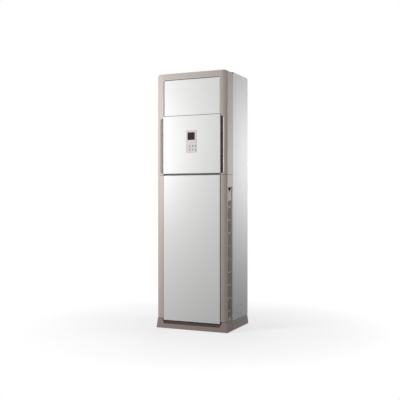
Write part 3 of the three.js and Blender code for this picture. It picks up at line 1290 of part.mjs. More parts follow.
function coilFins() {
  const half = COIL_T / 2;
  const finShare = 0.6;
  const pitch = (2 * COIL_X) / (COIL_FINS - 1 + finShare);
  const row = (depth) => {
    const points = [];
    for (let i = 0; i < COIL_FINS; i += 1) {
      const x = -COIL_X + i * pitch;
      points.push([x, depth], [x + pitch * finShare, depth]);
      const inner = depth - Math.sign(depth) * COIL_GROOVE;
      points.push([x + pitch * finShare, inner], [x + pitch, inner]);
    }
    return points.slice(0, -2);
  };
  const front = row(-half);
  const rear = row(half).reverse();
  const geometry = extruded(outline([...front, ...rear]), COIL_L, 1).rotateX(-COIL_LEAN);
  return solid(geometry.translate(0, COIL_FOOT_Y, COIL_FOOT_Z));
}

function tubeSheet() {
  const half = COIL_T / 2 + 2;
  const side = outline([
    coilPoint(0, -half), coilPoint(0, half), coilPoint(COIL_L, half), coilPoint(COIL_L, -half),
  ]);
  const x1 = COIL_X + TUBE_SHEET_T;
  const plate = alongX(side, COIL_X - 1, x1);
  const [earY, earTop] = coilPoint(COIL_L - COIL_T, 0);
  const ear = block(COIL_X, x1, earY, REAR_ROOM_Y - FIT, earTop - 40, earTop);
  const fold = block(
    COIL_X, x1 + 12, REAR_ROOM_Y - FIT - TUBE_SHEET_T, REAR_ROOM_Y - FIT, earTop - 40, earTop,
  );
  return join(plate, ear, fold);
}

function returnBend(along, sign) {
  const reach = 14;
  const x = sign * (COIL_X + TUBE_SHEET_T);
  const route = [];
  const ends = 3;
  for (let i = 0; i <= ends; i += 1) {
    const angle = -Math.PI / 2 + (i * Math.PI) / ends;
    const [y, z] = coilPoint(along + reach * Math.sin(angle), 0);
    route.push([x + sign * (4 + reach * Math.cos(angle)), y, z]);
  }
  const [yIn, zIn] = coilPoint(along - reach, 0);
  const [yOut, zOut] = coilPoint(along + reach, 0);
  route.unshift([x - sign * 2, yIn, zIn]);
  route.push([x - sign * 2, yOut, zOut]);
  return tube(route, COIL_TUBE_R, 3, 4);
}

function evaporatorCoil() {
  const sheet = tubeSheet();
  let coil = join(coilFins(), sheet, mirrored(sheet));
  for (let i = 0; i < COIL_BENDS; i += 1) {
    const along = ((i + 0.5) * COIL_L) / COIL_BENDS;
    coil = join(coil, returnBend(along, -1), returnBend(along, 1));
  }
  return coil;
}

function drainPan() {
  const x = STEEL_X - PAN_SIDE;
  const [y0, y1] = [FACE_Y + PAN_FRONT, FACE_Y + PAN_REAR - WALL];
  const z0 = DECK_Z + FIT;
  const tray = block(-x, x, y0, y1, z0, z0 + PAN_H);
  const room = block(-x + WALL, x - WALL, y0 + WALL, y1 - WALL, z0 + SCROLL_T, z0 + PAN_H + 1);
  const spoutY = y1 - 18;
  const spout = rodX(x - 1, x + 14, spoutY, z0 + 11, 8, 12);
  const drain = rodX(x - WALL - 1, x + 15, spoutY, z0 + 11, 5.5, 12);
  return cut(join(tray, spout), room, drain);
}

// A pipe from the coil's right end, back along the side and down to its flare nut
function coilPipe(along, radius, rearY) {
  const [y, z] = coilPoint(along, 0);
  const x0 = COIL_X + TUBE_SHEET_T + FIT;
  const x = pipeX(radius);
  const bend = 2.2 * radius + 8;
  const bent = tube([
    [x0, y, z], [x0 + 6, y, z], [x, y + bend / 2, z], [x, y + bend, z],
    [x, rearY - bend, z], [x, rearY - bend / 4, z - bend / 4], [x, rearY, z - bend], [x, rearY, z - bend - 20],
  ], radius, 3, 16);
  const drop = rodZ(x, rearY, PIPE_END_Z, z - bend - 15, radius, 8);
  const nutTop = PIPE_END_Z + FLARE_NUT_L;
  const nut = rodZ(x - FLARE_NUT_R + radius + 2, rearY, PIPE_END_Z + 3, nutTop, FLARE_NUT_R, 6);
  return join(bent, drop, nut);
}

// ---------------------------------------------------------------- electrics
const BOX_FOOT = DECK_Z + BOX_RISE;
const BOX_BACK = PARTITION_Y - FIT;
const BOX_FRONT = BOX_BACK - BOX_D;

function controlBox() {
  const half = BOX_W / 2;
  const body = block(-half, half, BOX_FRONT, BOX_BACK, BOX_FOOT, BOX_FOOT + BOX_H);
  const room = block(
    -half + SHEET, half - SHEET, BOX_FRONT - 1, BOX_BACK - SHEET, BOX_FOOT + SHEET, BOX_FOOT + BOX_H - SHEET,
  );
  const glandX = half - 40;
  const gland = rodZ(glandX, BOX_BACK - 20, BOX_FOOT - 1, BOX_FOOT + SHEET + 1, 9, 12);
  return cut(body, room, gland);
}

function controlBoxLid() {
  const half = BOX_W / 2 + FIT + SHEET;
  const z0 = BOX_FOOT - FIT - SHEET;
  const z1 = BOX_FOOT + BOX_H + FIT + SHEET;
  const front = BOX_FRONT - FIT - SHEET;
  const plate = block(-half, half, front, front + 12, z0, z1);
  const room = block(-half + SHEET, half - SHEET, front + SHEET, front + 13, z0 + SHEET, z1 - SHEET);
  return cut(plate, room);
}

function mainBoard() {
  const y1 = BOX_BACK - SHEET - 6;
  const y0 = y1 - BOARD_T;
  const z0 = BOX_FOOT + BOX_H - BOARD_H - 15;
  const half = BOARD_W / 2;
  const board = block(-half, half, y0, y1, z0, z0 + BOARD_H);
  const post = (x, z) => rodY(x, y1 - 1, BOX_BACK - SHEET - FIT, z, 3, 6);
  const [postX, postLow, postTop] = [half - POST_IN, z0 + POST_IN, z0 + BOARD_H - POST_IN];
  const posts = [post(-postX, postLow), post(postX, postLow), post(-postX, postTop), post(postX, postTop)];
  // a component [width, height, depth] with its lower left corner on the board
  const component = ([w, h, d], x, z) => block(x, x + w, y0 - d, y0 + 1, z, z + h);
  const gap = BOARD_ROW;
  const rowZ = z0 + 2 * POST_IN;
  const transformer = component(TRANSFORMER, -postX + gap, rowZ);
  const relayX = -postX + 2 * gap + TRANSFORMER[0];
  const relays = [component(RELAY, relayX, rowZ), component(RELAY, relayX + RELAY[0] + gap, rowZ)];
  const capacitor = rodY(postX - CAPACITOR_R - gap, y0 - CAPACITOR_H, y0 + 1, rowZ + CAPACITOR_R, CAPACITOR_R, 12);
  const chip = component(CHIP, -CHIP[0] / 2, rowZ + TRANSFORMER[1] + gap);
  const plugZ = z0 + BOARD_H - PLUG[1] - gap / 2;
  const plugs = [0, 1, 2].map((i) => component(PLUG, -postX + gap + i * (PLUG[0] + gap), plugZ));
  return join(board, ...posts, transformer, ...relays, capacitor, chip, ...plugs);
}

function terminalBlock() {
  const y1 = BOX_BACK - SHEET - FIT;
  const z0 = BOX_FOOT + 34;
  const half = TERMINAL_W / 2;
  let body = block(-half, half, y1 - 12, y1, z0, z0 + 30);
  const cells = 4;
  const pitch = (TERMINAL_W - 2) / cells;
  for (let i = 0; i <= cells; i += 1) {
    const x = -half + i * pitch;
    body = body.add(block(x, x + 2, y1 - 22, y1 - 11, z0, z0 + 30));
  }
  for (let i = 0; i < cells; i += 1) {
    body = body.add(rodY(-half + 1 + (i + 0.5) * pitch, y1 - 15, y1 - 11, z0 + 15, 4.5, 6));
  }
  return body;
}

// ---------------------------------------------------------------- assembly
const unit = new THREE.Group();

function place(name, body, look) {
  const mesh = new THREE.Mesh(geometryOf(body), new THREE.MeshStandardMaterial(look));
  mesh.name = name;
  unit.add(mesh);
}

place('base_pan', basePan(), DARK_TAUPE);
place('plinth_cover', plinthCover(), TAUPE_PLASTIC);
place('upper_frame', upperFrame(), TAUPE_PLASTIC);
place('lower_frame', lowerFrame(), TAUPE_PLASTIC);
place('control_panel', controlPanel(), WHITE_PLASTIC);
place('lower_panel', lowerPanel(), WHITE_PLASTIC);

const rightSide = sidePanel();
place('right_side_panel', rightSide, WHITE_STEEL);
place('left_side_panel', mirrored(rightSide), WHITE_STEEL);
place('rear_panel', rearPanel(), ZINC_STEEL);
place('top_cover', topCover(), TAUPE_PLASTIC);

const rightGrille = intakeGrille();
place('right_intake_grille', rightGrille, DARK_TAUPE);
place('left_intake_grille', mirrored(rightGrille), DARK_TAUPE);
const rightFilter = airFilter();
place('right_air_filter', rightFilter, MESH_GREY);
place('left_air_filter', mirrored(rightFilter), MESH_GREY);

place('control_bezel', controlBezel(), TAUPE_PLASTIC);
place('display_window', displayWindow(), WINDOW_TINT);
place('display_board', displayBoard(), BOARD_GREEN);
for (const row of [0, 1]) {
  for (const column of [-1, 0, 1]) {
    place(`button_${row * 3 + column + 2}`, button(column, row), BUTTON_PLASTIC);
  }
}

place('outlet_door', outletDoor(), WHITE_PLASTIC);
place('door_drive_shaft', doorDriveShaft(), GREY_PLASTIC);
place('door_motor', gearMotorX(CHEEK_OUT + FIT, DRIVE_Y, DRIVE_Z, 1, SHAFT_R + BEARING_CLEAR), ZINC_STEEL);
place('outlet_duct', outletDuct(), GREY_PLASTIC);
for (let i = 0; i < LOUVRE_COUNT; i += 1) {
  place(`louvre_blade_${i + 1}`, louvreBlade(i), WHITE_PLASTIC);
}
place('louvre_link', louvreLink(), BLACK_PLASTIC);
const louvreMotor = gearMotorX(
  CHEEK_OUT + FIT, LOUVRE_Y, louvreZ(LOUVRE_DRIVEN), 1, PIVOT_R + BEARING_CLEAR,
);
place('louvre_motor', louvreMotor, ZINC_STEEL);
for (let i = 0; i < VANE_COUNT; i += 1) {
  place(`air_vane_${i + 1}`, airVane(i), BLACK_PLASTIC);
}
place('vane_link', vaneLink(), BLACK_PLASTIC);
place('vane_motor', vaneMotor(), ZINC_STEEL);

place('partition_plate', partitionPlate(), ZINC_STEEL);
place('evaporator_coil', evaporatorCoil(), ALUMINIUM);
place('drain_pan', drainPan(), FOAM_WHITE);
place('gas_pipe', coilPipe((3 * COIL_L) / COIL_BENDS, GAS_PIPE_R, GAS_PIPE_Y), COPPER);
place('liquid_pipe', coilPipe((2 * COIL_L) / COIL_BENDS, LIQUID_PIPE_R, LIQUID_PIPE_Y), COPPER);

place('scroll_housing', scrollHousing(), ZINC_STEEL);
place('inlet_ring', inletRing(), ZINC_STEEL);
place('blower_wheel', blowerWheel(), BLACK_PLASTIC);
place('motor_shaft', motorShaft(), ZINC_STEEL);
place('fan_motor', fanMotor(), BLACK_PLASTIC);
place('motor_bracket', motorBracket(), ZINC_STEEL);

place('control_box', controlBox(), ZINC_STEEL);
place('control_box_lid', controlBoxLid(), ZINC_STEEL);
place('main_board', mainBoard(), BOARD_GREEN);
place('terminal_block', terminalBlock(), WHITE_PLASTIC);

export default unit;
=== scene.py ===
# A floor standing air conditioner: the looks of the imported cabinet, its studio and its camera.
# Metres, +Z up, the front faces -Y. Sizes and places of pieces are given in millimetres and scaled by MM.
import json
import math

import bmesh
import bpy
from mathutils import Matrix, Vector


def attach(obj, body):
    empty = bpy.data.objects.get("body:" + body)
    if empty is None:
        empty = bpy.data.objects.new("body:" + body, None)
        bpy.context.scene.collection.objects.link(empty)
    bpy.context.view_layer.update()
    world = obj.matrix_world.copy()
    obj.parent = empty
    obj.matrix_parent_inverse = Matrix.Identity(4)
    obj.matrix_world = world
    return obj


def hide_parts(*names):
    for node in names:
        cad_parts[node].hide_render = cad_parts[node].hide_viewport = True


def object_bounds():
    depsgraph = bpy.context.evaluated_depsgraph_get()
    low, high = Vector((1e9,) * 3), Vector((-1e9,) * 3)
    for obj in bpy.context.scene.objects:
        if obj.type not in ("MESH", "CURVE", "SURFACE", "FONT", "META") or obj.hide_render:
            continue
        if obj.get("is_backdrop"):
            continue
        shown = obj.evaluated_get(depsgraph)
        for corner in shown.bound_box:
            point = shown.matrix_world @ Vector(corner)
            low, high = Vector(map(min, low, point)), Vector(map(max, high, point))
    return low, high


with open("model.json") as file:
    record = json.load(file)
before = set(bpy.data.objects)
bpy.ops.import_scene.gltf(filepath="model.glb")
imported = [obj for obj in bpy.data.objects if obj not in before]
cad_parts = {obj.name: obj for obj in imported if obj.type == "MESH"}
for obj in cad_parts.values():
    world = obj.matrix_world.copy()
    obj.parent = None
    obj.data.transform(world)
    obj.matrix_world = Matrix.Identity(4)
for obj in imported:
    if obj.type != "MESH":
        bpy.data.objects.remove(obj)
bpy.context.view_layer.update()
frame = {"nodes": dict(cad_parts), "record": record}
bpy.ops.object.select_all(action="DESELECT")

MM = 0.001
NODES = frame["nodes"]
BODY_OF = {node: body for body, nodes in frame["record"]["behaviour"]["bodies"].items() for node in nodes}
SLOT_OF = {part["node"]: part["material_slot"] for part in frame["record"]["subparts"]}
SIDES = ((1, "right"), (-1, "left"))


# ------------------------------------------------------------------ finishes
class Finish:
    """A procedural material built up step by step on one shader."""

    PATTERN_LOW, PATTERN_HIGH = 0.3, 0.7  # where most of a noise pattern's values lie

    def __init__(self, name, code, roughness, metallic=0.0):
        self.material = bpy.data.materials.new(name)
        self.material.use_nodes = True
        self.tree = self.material.node_tree
        self.shader = self.tree.nodes["Principled BSDF"]
        self.colour = linear(code)
        self.roughness = roughness
        self.shader.inputs["Base Color"].default_value = (*self.colour, 1.0)
        self.shader.inputs["Roughness"].default_value = roughness
        self.shader.inputs["Metallic"].default_value = metallic
        self.coordinates = self.tree.nodes.new("ShaderNodeTexCoord").outputs["Object"]
        self.height = None

    def node(self, kind, **inputs):
        made = self.tree.nodes.new(kind)
        for name, value in inputs.items():
            socket = made.inputs[name.replace("_", " ")]
            if isinstance(value, bpy.types.NodeSocket):
                self.tree.links.new(value, socket)
            else:
                socket.default_value = value
        return made

    def noise(self, scale, detail, roughness=0.5, along=(1, 1, 1)):
        """Noise on object coordinates scaled per axis, so that it runs along the small ones."""
        stretched = self.node("ShaderNodeMapping", Vector=self.coordinates, Scale=along).outputs["Vector"]
        made = self.node("ShaderNodeTexNoise", Vector=stretched, Scale=scale, Detail=detail, Roughness=roughness)
        return made.outputs["Fac"]

    def waves(self, scale, direction, **inputs):
        made = self.node("ShaderNodeTexWave", Vector=self.coordinates, Scale=scale, **inputs)
        made.bands_direction = direction
        return made.outputs["Fac"]

    def spread(self, value, low, high):
        """Spreads a pattern's usual range over the range from low to high."""
        made = self.node(
            "ShaderNodeMapRange",
            Value=value, From_Min=self.PATTERN_LOW, From_Max=self.PATTERN_HIGH, To_Min=low, To_Max=high,
        )
        return made.outputs["Result"]

    def tint(self, value, factor, share):
        """Mixes the colour times a factor in where the pattern is strong."""
        mix = self.node("ShaderNodeMix")
        mix.data_type = "RGBA"
        amount, first, second = mix.inputs[0], mix.inputs[6], mix.inputs[7]
        self.tree.links.new(self.spread(value, 0.0, share), amount)
        base = self.shader.inputs["Base Color"]
        if base.is_linked:
            self.tree.links.new(base.links[0].from_socket, first)
        else:
            first.default_value = (*self.colour, 1.0)
        second.default_value = (*(c * factor for c in self.colour), 1.0)
        self.tree.links.new(mix.outputs[2], base)

    def polish(self, value, swing):
        """Varies the roughness round its own value."""
        ranged = self.spread(value, self.roughness - swing, self.roughness + swing)
        self.tree.links.new(ranged, self.shader.inputs["Roughness"])

    def relief(self, value, depth_mm, strength):
        """Adds bump; several reliefs stack up."""
        bump = self.node("ShaderNodeBump", Height=value, Strength=strength, Distance=depth_mm * MM)
        if self.height is not None:
            self.tree.links.new(self.height, bump.inputs["Normal"])
        self.height = bump.outputs["Normal"]
        self.tree.links.new(self.height, self.shader.inputs["Normal"])

    def refraction(self, index):
        self.shader.inputs["IOR"].default_value = index


def linear(code):
    """The shader's colour for an sRGB colour code such as c9bdb4."""
    parts = [int(code[i : i + 2], 16) / 255 for i in (0, 2, 4)]
    return tuple(c / 12.92 if c <= 0.04045 else ((c + 0.055) / 1.055) ** 2.4 for c in parts)


def moulded(name, code, roughness, grain_mm=0.03):
    """Injection-moulded plastic: fine spark-eroded grain and faint sink marks."""
    made = Finish(name, code, roughness)
    grain = made.noise(1400, 2)
    sinks = made.noise(4, 3)
    made.polish(sinks, 0.04)
    made.tint(sinks, 0.975, 1.0)
    made.relief(grain, grain_mm, 0.25)
    made.refraction(1.46)
    return made


def coated_steel(name, code, roughness):
    """Powder coat on sheet steel: orange peel over nearly flat metal."""
    made = Finish(name, code, roughness)
    peel = made.noise(420, 3, 0.55)
    broad = made.noise(3, 3)
    made.polish(broad, 0.04)
    made.tint(broad, 0.98, 1.0)
    made.relief(peel, 0.04, 0.2)
    made.refraction(1.45)
    return made


def plated_steel(name, code):
    """Zinc-plated sheet with its large crystals and rolling lines."""
    made = Finish(name, code, 0.42, 0.85)
    spangle = made.node("ShaderNodeTexVoronoi", Vector=made.coordinates, Scale=95.0).outputs["Color"]
    grey = made.node("ShaderNodeSeparateColor", Color=spangle).outputs[0]
    made.polish(grey, 0.1)
    made.tint(grey, 0.78, 0.8)
    made.relief(made.noise(60, 2, 0.5, (1, 1, 14)), 0.04, 0.2)
    return made


def drawn_metal(name, code, roughness):
    """Drawn tube with fine lines along its length."""
    made = Finish(name, code, roughness, 1.0)
    lines = made.noise(40, 3, 0.6, (30, 30, 1))
    patina = made.noise(16, 4)
    made.polish(lines, 0.08)
    made.tint(patina, 0.72, 0.7)
    made.relief(lines, 0.03, 0.25)
    return made


def fin_pack(name, code):
    """Thin fins side by side, drawn as fine upright grooves."""
    made = Finish(name, code, 0.38, 0.9)
    fins = made.waves(95.0, "X", Distortion=0.15, Detail=1.0)
    made.relief(fins, 0.9, 0.8)
    made.tint(fins, 0.35, 0.9)
    made.polish(made.noise(12, 3), 0.06)
    return made


def circuit_board(name, code):
    """Solder mask with tracks under it."""
    made = Finish(name, code, 0.38)
    bricks = made.node("ShaderNodeTexBrick", Vector=made.coordinates, Scale=70.0, Mortar_Size=0.012)
    tracks = bricks.outputs["Fac"]
    made.tint(tracks, 1.9, 0.9)
    made.relief(tracks, 0.04, 0.4)
    made.polish(made.noise(60, 2), 0.05)
    return made


def woven_filter(name, code):
    """Nylon net: crossed threads."""
    made = Finish(name, code, 0.75)
    for direction in ("Y", "Z"):
        threads = made.waves(260.0, direction)
        made.relief(threads, 0.3, 0.6)
        made.tint(threads, 0.45, 0.6)
    return made


def bead_foam(name, code):
    """Moulded foam with its beads showing."""
    made = Finish(name, code, 0.85)
    beads = made.node("ShaderNodeTexVoronoi", Vector=made.coordinates, Scale=330.0).outputs["Distance"]
    made.relief(beads, 0.35, 0.5)
    made.tint(beads, 0.86, 0.7)
    return made


def smoked_window(name, code):
    """Dark glossy lens with a slight haze."""
    made = Finish(name, code, 0.12)
    haze = made.noise(35, 4)
    made.polish(haze, 0.03)
    made.tint(haze, 1.6, 0.5)
    made.refraction(1.42)
    return made


# One finish for each material slot, and three for pieces that differ from the rest of their slot.
FINISHES = {
    "white_plastic": moulded("white_panel_moulding", "f5f5f4", 0.34, 0.02),
    "taupe_plastic": moulded("warm_grey_moulding", "c4bab4", 0.46),
    "dark_taupe": moulded("warm_grey_grille", "baaba4", 0.45),
    "white_steel": coated_steel("white_coated_sheet", "ededee", 0.5),
    "foot_steel": moulded("warm_grey_foot", "a0928a", 0.45),
    "zinc_steel": plated_steel("zinc_plated_sheet", "b9bec1"),
    "black_plastic": moulded("black_moulding", "29282b", 0.5),
    "grey_plastic": moulded("grey_duct_moulding", "8d9093", 0.55),
    "tinted_window": smoked_window("smoked_display_lens", "130d18"),
    "bezel": moulded("pale_bezel_moulding", "dfd8d3", 0.45),
    "plinth": moulded("dark_plinth_moulding", "a18f89", 0.48),
    # The dark finish for strips and sheets laid in joints and recesses as painted shade.
    "lining": moulded("painted_shade_moulding", "4d4241", 0.5),
    "button_plastic": moulded("pale_key_moulding", "ece4de", 0.3),
    "board_green": circuit_board("green_circuit_board", "2c6440"),
    "copper_pipe": drawn_metal("drawn_copper", "c17c4f", 0.3),
    "aluminium_fins": fin_pack("bare_aluminium_fins", "c9ccce"),
    "foam_white": bead_foam("white_bead_foam", "e6e6e2"),
    "filter_mesh": woven_filter("dark_filter_net", "4c4c4f"),
}


def paint(piece, finish):
    piece.data.materials.clear()
    piece.data.materials.append(FINISHES[finish].material)


# ------------------------------------------------------------------ modelling helpers
def only(piece):
    """Makes a piece the one selected and active piece."""
    bpy.ops.object.select_all(action="DESELECT")
    piece.select_set(True)
    bpy.context.view_layer.objects.active = piece


def apply_all(piece):
    only(piece)
    for modifier in list(piece.modifiers):
        bpy.ops.object.modifier_apply(modifier=modifier.name)


def edit(piece, kind):
    """Goes into edit mode with nothing selected and gives the mesh that is edited."""
    only(piece)
    bpy.ops.object.mode_set(mode="EDIT")
    bpy.ops.mesh.select_mode(type=kind)
    bpy.ops.mesh.select_all(action="DESELECT")
    return bmesh.from_edit_mesh(piece.data)


def pick(piece, wanted):
    """Goes into edit mode with just the faces selected whose centre (mm) and normal are wanted."""
    mesh = edit(piece, "FACE")
    for face in mesh.faces:
        face.select_set(bool(wanted(face.calc_center_median() / MM, face.normal)))
    bmesh.update_edit_mesh(piece.data)


def edited():
    """Leaves edit mode."""
    bpy.ops.mesh.select_mode(type="FACE")
    bpy.ops.object.mode_set(mode="OBJECT")


def block(name, low, high):
    """A blank between two corners given in millimetres."""
    bpy.ops.object.select_all(action="DESELECT")
    middle = [(a + b) / 2 * MM for a, b in zip(low, high)]
    bpy.ops.mesh.primitive_cube_add(size=MM, location=middle)
    piece = bpy.context.object
    piece.name = name
    piece.scale = [b - a for a, b in zip(low, high)]
    bpy.ops.object.transform_apply(location=True, rotation=True, scale=True)
    return piece


def in_a_row(piece, step_mm, count):
    row = piece.modifiers.new("row", "ARRAY")
    row.use_relative_offset = False
    row.use_constant_offset = True
    row.constant_offset_displace = [c * MM for c in step_mm]
    row.count = count
    apply_all(piece)


def settle(piece, node, slot, finish=None):
    """Gives a finished piece its finish (that of its slot unless another is named) and its body: that of the CAD
    piece it is fixed to.
    """
    only(piece)
    bpy.ops.object.transform_apply(location=True, rotation=True, scale=True)
    paint(piece, finish or slot)
    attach(piece, BODY_OF[node])
    return piece


def break_edges(piece, width_mm, clamp=True):
    bevel = piece.modifiers.new("broken_edges", "BEVEL")
    bevel.width = width_mm * MM
    bevel.segments = 2
    bevel.limit_method = "ANGLE"
    bevel.angle_limit = math.radians(32)
    bevel.use_clamp_overlap = clamp
    apply_all(piece)


def round_off(piece, angle):
    """Smooth shading that leaves the broad flat faces flat."""
    only(piece)
    bpy.ops.object.shade_smooth_by_angle(angle=math.radians(angle))
    weighted = piece.modifiers.new("flat_faces_first", "WEIGHTED_NORMAL")
    weighted.mode = "FACE_AREA"
    weighted.weight = 100
    weighted.keep_sharp = True
    apply_all(piece)


def loose_copy(source, name):
    """A visible copy with its own mesh, free of the source's tags and parent."""
    piece = source.copy()
    piece.data = source.data.copy()
    for key in list(piece.keys()):
        del piece[key]
    piece.name = name
    piece.parent = None
    piece.hide_render = piece.hide_viewport = False
    bpy.context.collection.objects.link(piece)
    piece.hide_set(False)
    return piece


def merged_copy(node, name):
    """A copy of a CAD piece with its loose triangles joined up."""
    piece = loose_copy(NODES[node], name)
    only(piece)
    bpy.ops.object.mode_set(mode="EDIT")
    bpy.ops.mesh.select_all(action="SELECT")
    bpy.ops.mesh.remove_doubles(threshold=0.02 * MM)
    bpy.ops.mesh.dissolve_limited(angle_limit=math.radians(0.6))
    bpy.ops.object.mode_set(mode="OBJECT")
    return piece


def dressed(node, edge_mm, finish=None, clamp=False):
    """A fine copy of a CAD piece: facets merged, edges broken, curves shaded round."""
    piece = merged_copy(node, node + "_fine")
    if edge_mm:
        break_edges(piece, edge_mm, clamp)
    round_off(piece, 38)
    settle(piece, node, SLOT_OF[node], finish)
    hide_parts(node)
    return piece


def lining(node, name, belongs, thick_mm, slot, finish=None):
    """A thin sheet laid on some faces of a CAD piece; its colour paints light there: a highlight when pale,
    shade when dark.
    """
    piece = merged_copy(node, name)
    pick(piece, lambda centre, normal: not belongs(centre, normal))
    bpy.ops.mesh.delete(type="FACE")
    edited()
    sheet = piece.modifiers.new("sheet", "SOLIDIFY")
    sheet.thickness = thick_mm * MM
    sheet.offset = 1
    apply_all(piece)
    return settle(piece, node, slot, finish)


def strip(name, low, high, node, finish=None):
    """A straight dark strip fixed to a CAD piece, as painted shade."""
    piece = block(name, low, high)
    break_edges(piece, 0.3)
    round_off(piece, 50)
    return settle(piece, node, "black_plastic", finish)


def mirrored(piece, name, node, slot, finish=None):
    """The same piece for the cabinet's other side."""
    twin = loose_copy(piece, name)
    twin.scale = (-1, 1, 1)
    only(twin)
    bpy.ops.object.transform_apply(location=True, rotation=True, scale=True)
    bpy.ops.object.mode_set(mode="EDIT")
    bpy.ops.mesh.select_all(action="SELECT")
    bpy.ops.mesh.normals_make_consistent(inside=False)
    bpy.ops.object.mode_set(mode="OBJECT")
    return settle(twin, node, slot, finish)


def screw_head(across_mm):
    """A pan head with a cross recess, standing on the origin."""
    tall = across_mm * 0.3
    bpy.ops.object.select_all(action="DESELECT")
    bpy.ops.mesh.primitive_cylinder_add(
        vertices=20, radius=across_mm / 2 * MM, depth=tall * 1.3 * MM, location=(0, 0, tall * 0.35 * MM)
    )
    head = bpy.context.object
    pick(head, lambda centre, normal: normal.z > 0.9)
    bpy.ops.mesh.bevel(offset=tall * 0.6 * MM, segments=3)
    edited()
    arm, slim, deep = across_mm * 0.28, across_mm * 0.07, tall * 0.3
    for wide, long in ((arm, slim), (slim, arm)):
        cutter = block("recess", (-wide, -long, deep), (wide, long, tall * 1.5))
        cut = head.modifiers.new("recess", "BOOLEAN")
        cut.operation = "DIFFERENCE"
        cut.object = cutter
        apply_all(head)
        bpy.data.objects.remove(cutter)
    round_off(head, 35)
    return head


def screws(name, node, places, outward, across_mm=8.0):
    """One head modelled, then copied to each place on a CAD piece."""
    head = screw_head(across_mm)
    turn = Vector(outward).to_track_quat("Z", "Y").to_euler()
    heads = []
    for place in places:
        one = loose_copy(head, name)
        one.rotation_euler = turn
        one.location = [c * MM for c in place]
        heads.append(one)
    bpy.data.objects.remove(head)
    only(heads[0])
    for one in heads:
        one.select_set(True)
    bpy.ops.object.join()
    return settle(heads[0], node, "zinc_steel")


# ------------------------------------------------------------------ the CAD pieces
for name, cad in NODES.items():
    paint(cad, SLOT_OF[name])

# How much of each edge is broken, in mm.
OUTER_EDGES = {
    "upper_frame": 0.9,
    "lower_frame": 0.9,
    "control_panel": 0.7,
    "lower_panel": 0.5,
    "right_side_panel": 0.4,
    "left_side_panel": 0.4,
    "rear_panel": 0.3,
    "top_cover": 0.6,
    "base_pan": 0.6,
    "display_window": 0.3,
    "right_intake_grille": 0.25,
    "left_intake_grille": 0.25,
}
INNER_EDGES = {
    "outlet_door": 0.15,
    "right_air_filter": 0.2,
    "left_air_filter": 0.2,
    "display_board": 0.1,
    "door_motor": 0.4,
    "outlet_duct": 0.3,
    "louvre_link": 0.3,
    "louvre_motor": 0.4,
    "vane_link": 0.3,
    "vane_motor": 0.4,
    "partition_plate": 0.2,
    "evaporator_coil": 0.15,
    "drain_pan": 0.5,
    "gas_pipe": 0,
    "liquid_pipe": 0,
    "scroll_housing": 0.3,
    "inlet_ring": 0.3,
    "blower_wheel": 0,
    "motor_shaft": 0.3,
    "fan_motor": 0.8,
    "motor_bracket": 0.3,
    "control_box": 0.3,
    "control_box_lid": 0.3,
    "main_board": 0.15,
    "terminal_block": 0.2,
}
for name, width in OUTER_EDGES.items():
    dressed(name, width)
dressed("plinth_cover", 0.8, finish="plinth")
dressed("control_bezel", 0.3, finish="bezel")
for name, width in INNER_EDGES.items():
    dressed(name, width, clamp=True)

# Each pinion's outer face is set back, so that it stands clear of the rail that passes it.
PINION_FACE_X = 211.5
PINION_SETBACK = 0.7
shaft = dressed("door_drive_shaft", 0)
for side in (-1, 1):
    pick(shaft, lambda centre, normal: abs(centre.x - side * PINION_FACE_X) < 0.1)
    bpy.ops.transform.translate(value=(-side * PINION_SETBACK * MM, 0, 0))
    edited()

for number in range(1, 7):
    dressed(f"button_{number}", 0.35)
    dressed(f"louvre_blade_{number}", 0.4, clamp=True)
    dressed(f"air_vane_{number}", 0.4, clamp=True)

# ------------------------------------------------------------------ trim on the front
# The finger grooves: a pale sheet on the outer wall as a painted highlight, a dark strip on the floor beside the
# control panel as painted shade.
GROOVE_WALL = ((235, 251), (-209.9, -196), (1108, 1506))
GROOVE_FLOOR = ((221.7, -196.7, 1109.6), (235.4, -195.8, 1504.4))


def groove_wall(side):
    """Picks the faces of the groove's outer wall that look towards the panel."""

    def belongs(centre, normal):
        place = (centre.x * side, centre.y, centre.z)
        inside = all(low < value < high for value, (low, high) in zip(place, GROOVE_WALL))
        return inside and normal.x * side < -0.6 and normal.y < 0.1

    return belongs


def toe_back(centre, normal):
    """Picks the back wall of the recess under the lower panel."""
    return normal.y < -0.9 and -203 < centre.y < -193 and 30 < centre.z < 70


# Pale sheets on the grooves' outer walls: a painted highlight.
for side, hand in SIDES:
    lining("upper_frame", hand + "_groove_painted_highlight", groove_wall(side), 0.6, "button_plastic")
# Dark strips on the grooves' floors: painted shade.
groove_floor = strip("right_groove_painted_shade", *GROOVE_FLOOR, "upper_frame", "lining")
mirrored(groove_floor, "left_groove_painted_shade", "upper_frame", "black_plastic", "lining")
# A dark sheet on the back wall of the recess under the lower panel: painted shade.
lining("plinth_cover", "toe_recess_painted_shade", toe_back, 0.4, "black_plastic", "lining")

# Dark strips in the joints of the front, as painted shade.
strip("panel_gap_painted_shade", (-221, -211.2, 1098.9), (221, -209.9, 1106.8), "upper_frame")
strip("door_gap_painted_shade_top", (-218.2, -209.2, 1775.8), (218.2, -207.5, 1780.2), "upper_frame")
strip("door_gap_painted_shade_foot", (-218.2, -209.2, 1518), (218.2, -207.5, 1522.6), "upper_frame", "lining")
door_gap_shade = strip("door_gap_painted_shade_right", (216.2, -209.2, 1522.8), (218.6, -207.5, 1776), "upper_frame", "lining")
mirrored(door_gap_shade, "door_gap_painted_shade_left", "upper_frame", "black_plastic", "lining")

# ------------------------------------------------------------------ the intake grilles
# Close upright slats run down the grille, each with a narrower outer edge.
SLAT_LOW, SLAT_HIGH = (262.8, -187.6, 95), (264.9, -185.9, 919)
SLAT_EDGE_X = 267.1
SLAT_TAPER = 0.75
SLAT_STEP, SLAT_COUNT = 2.95, 21

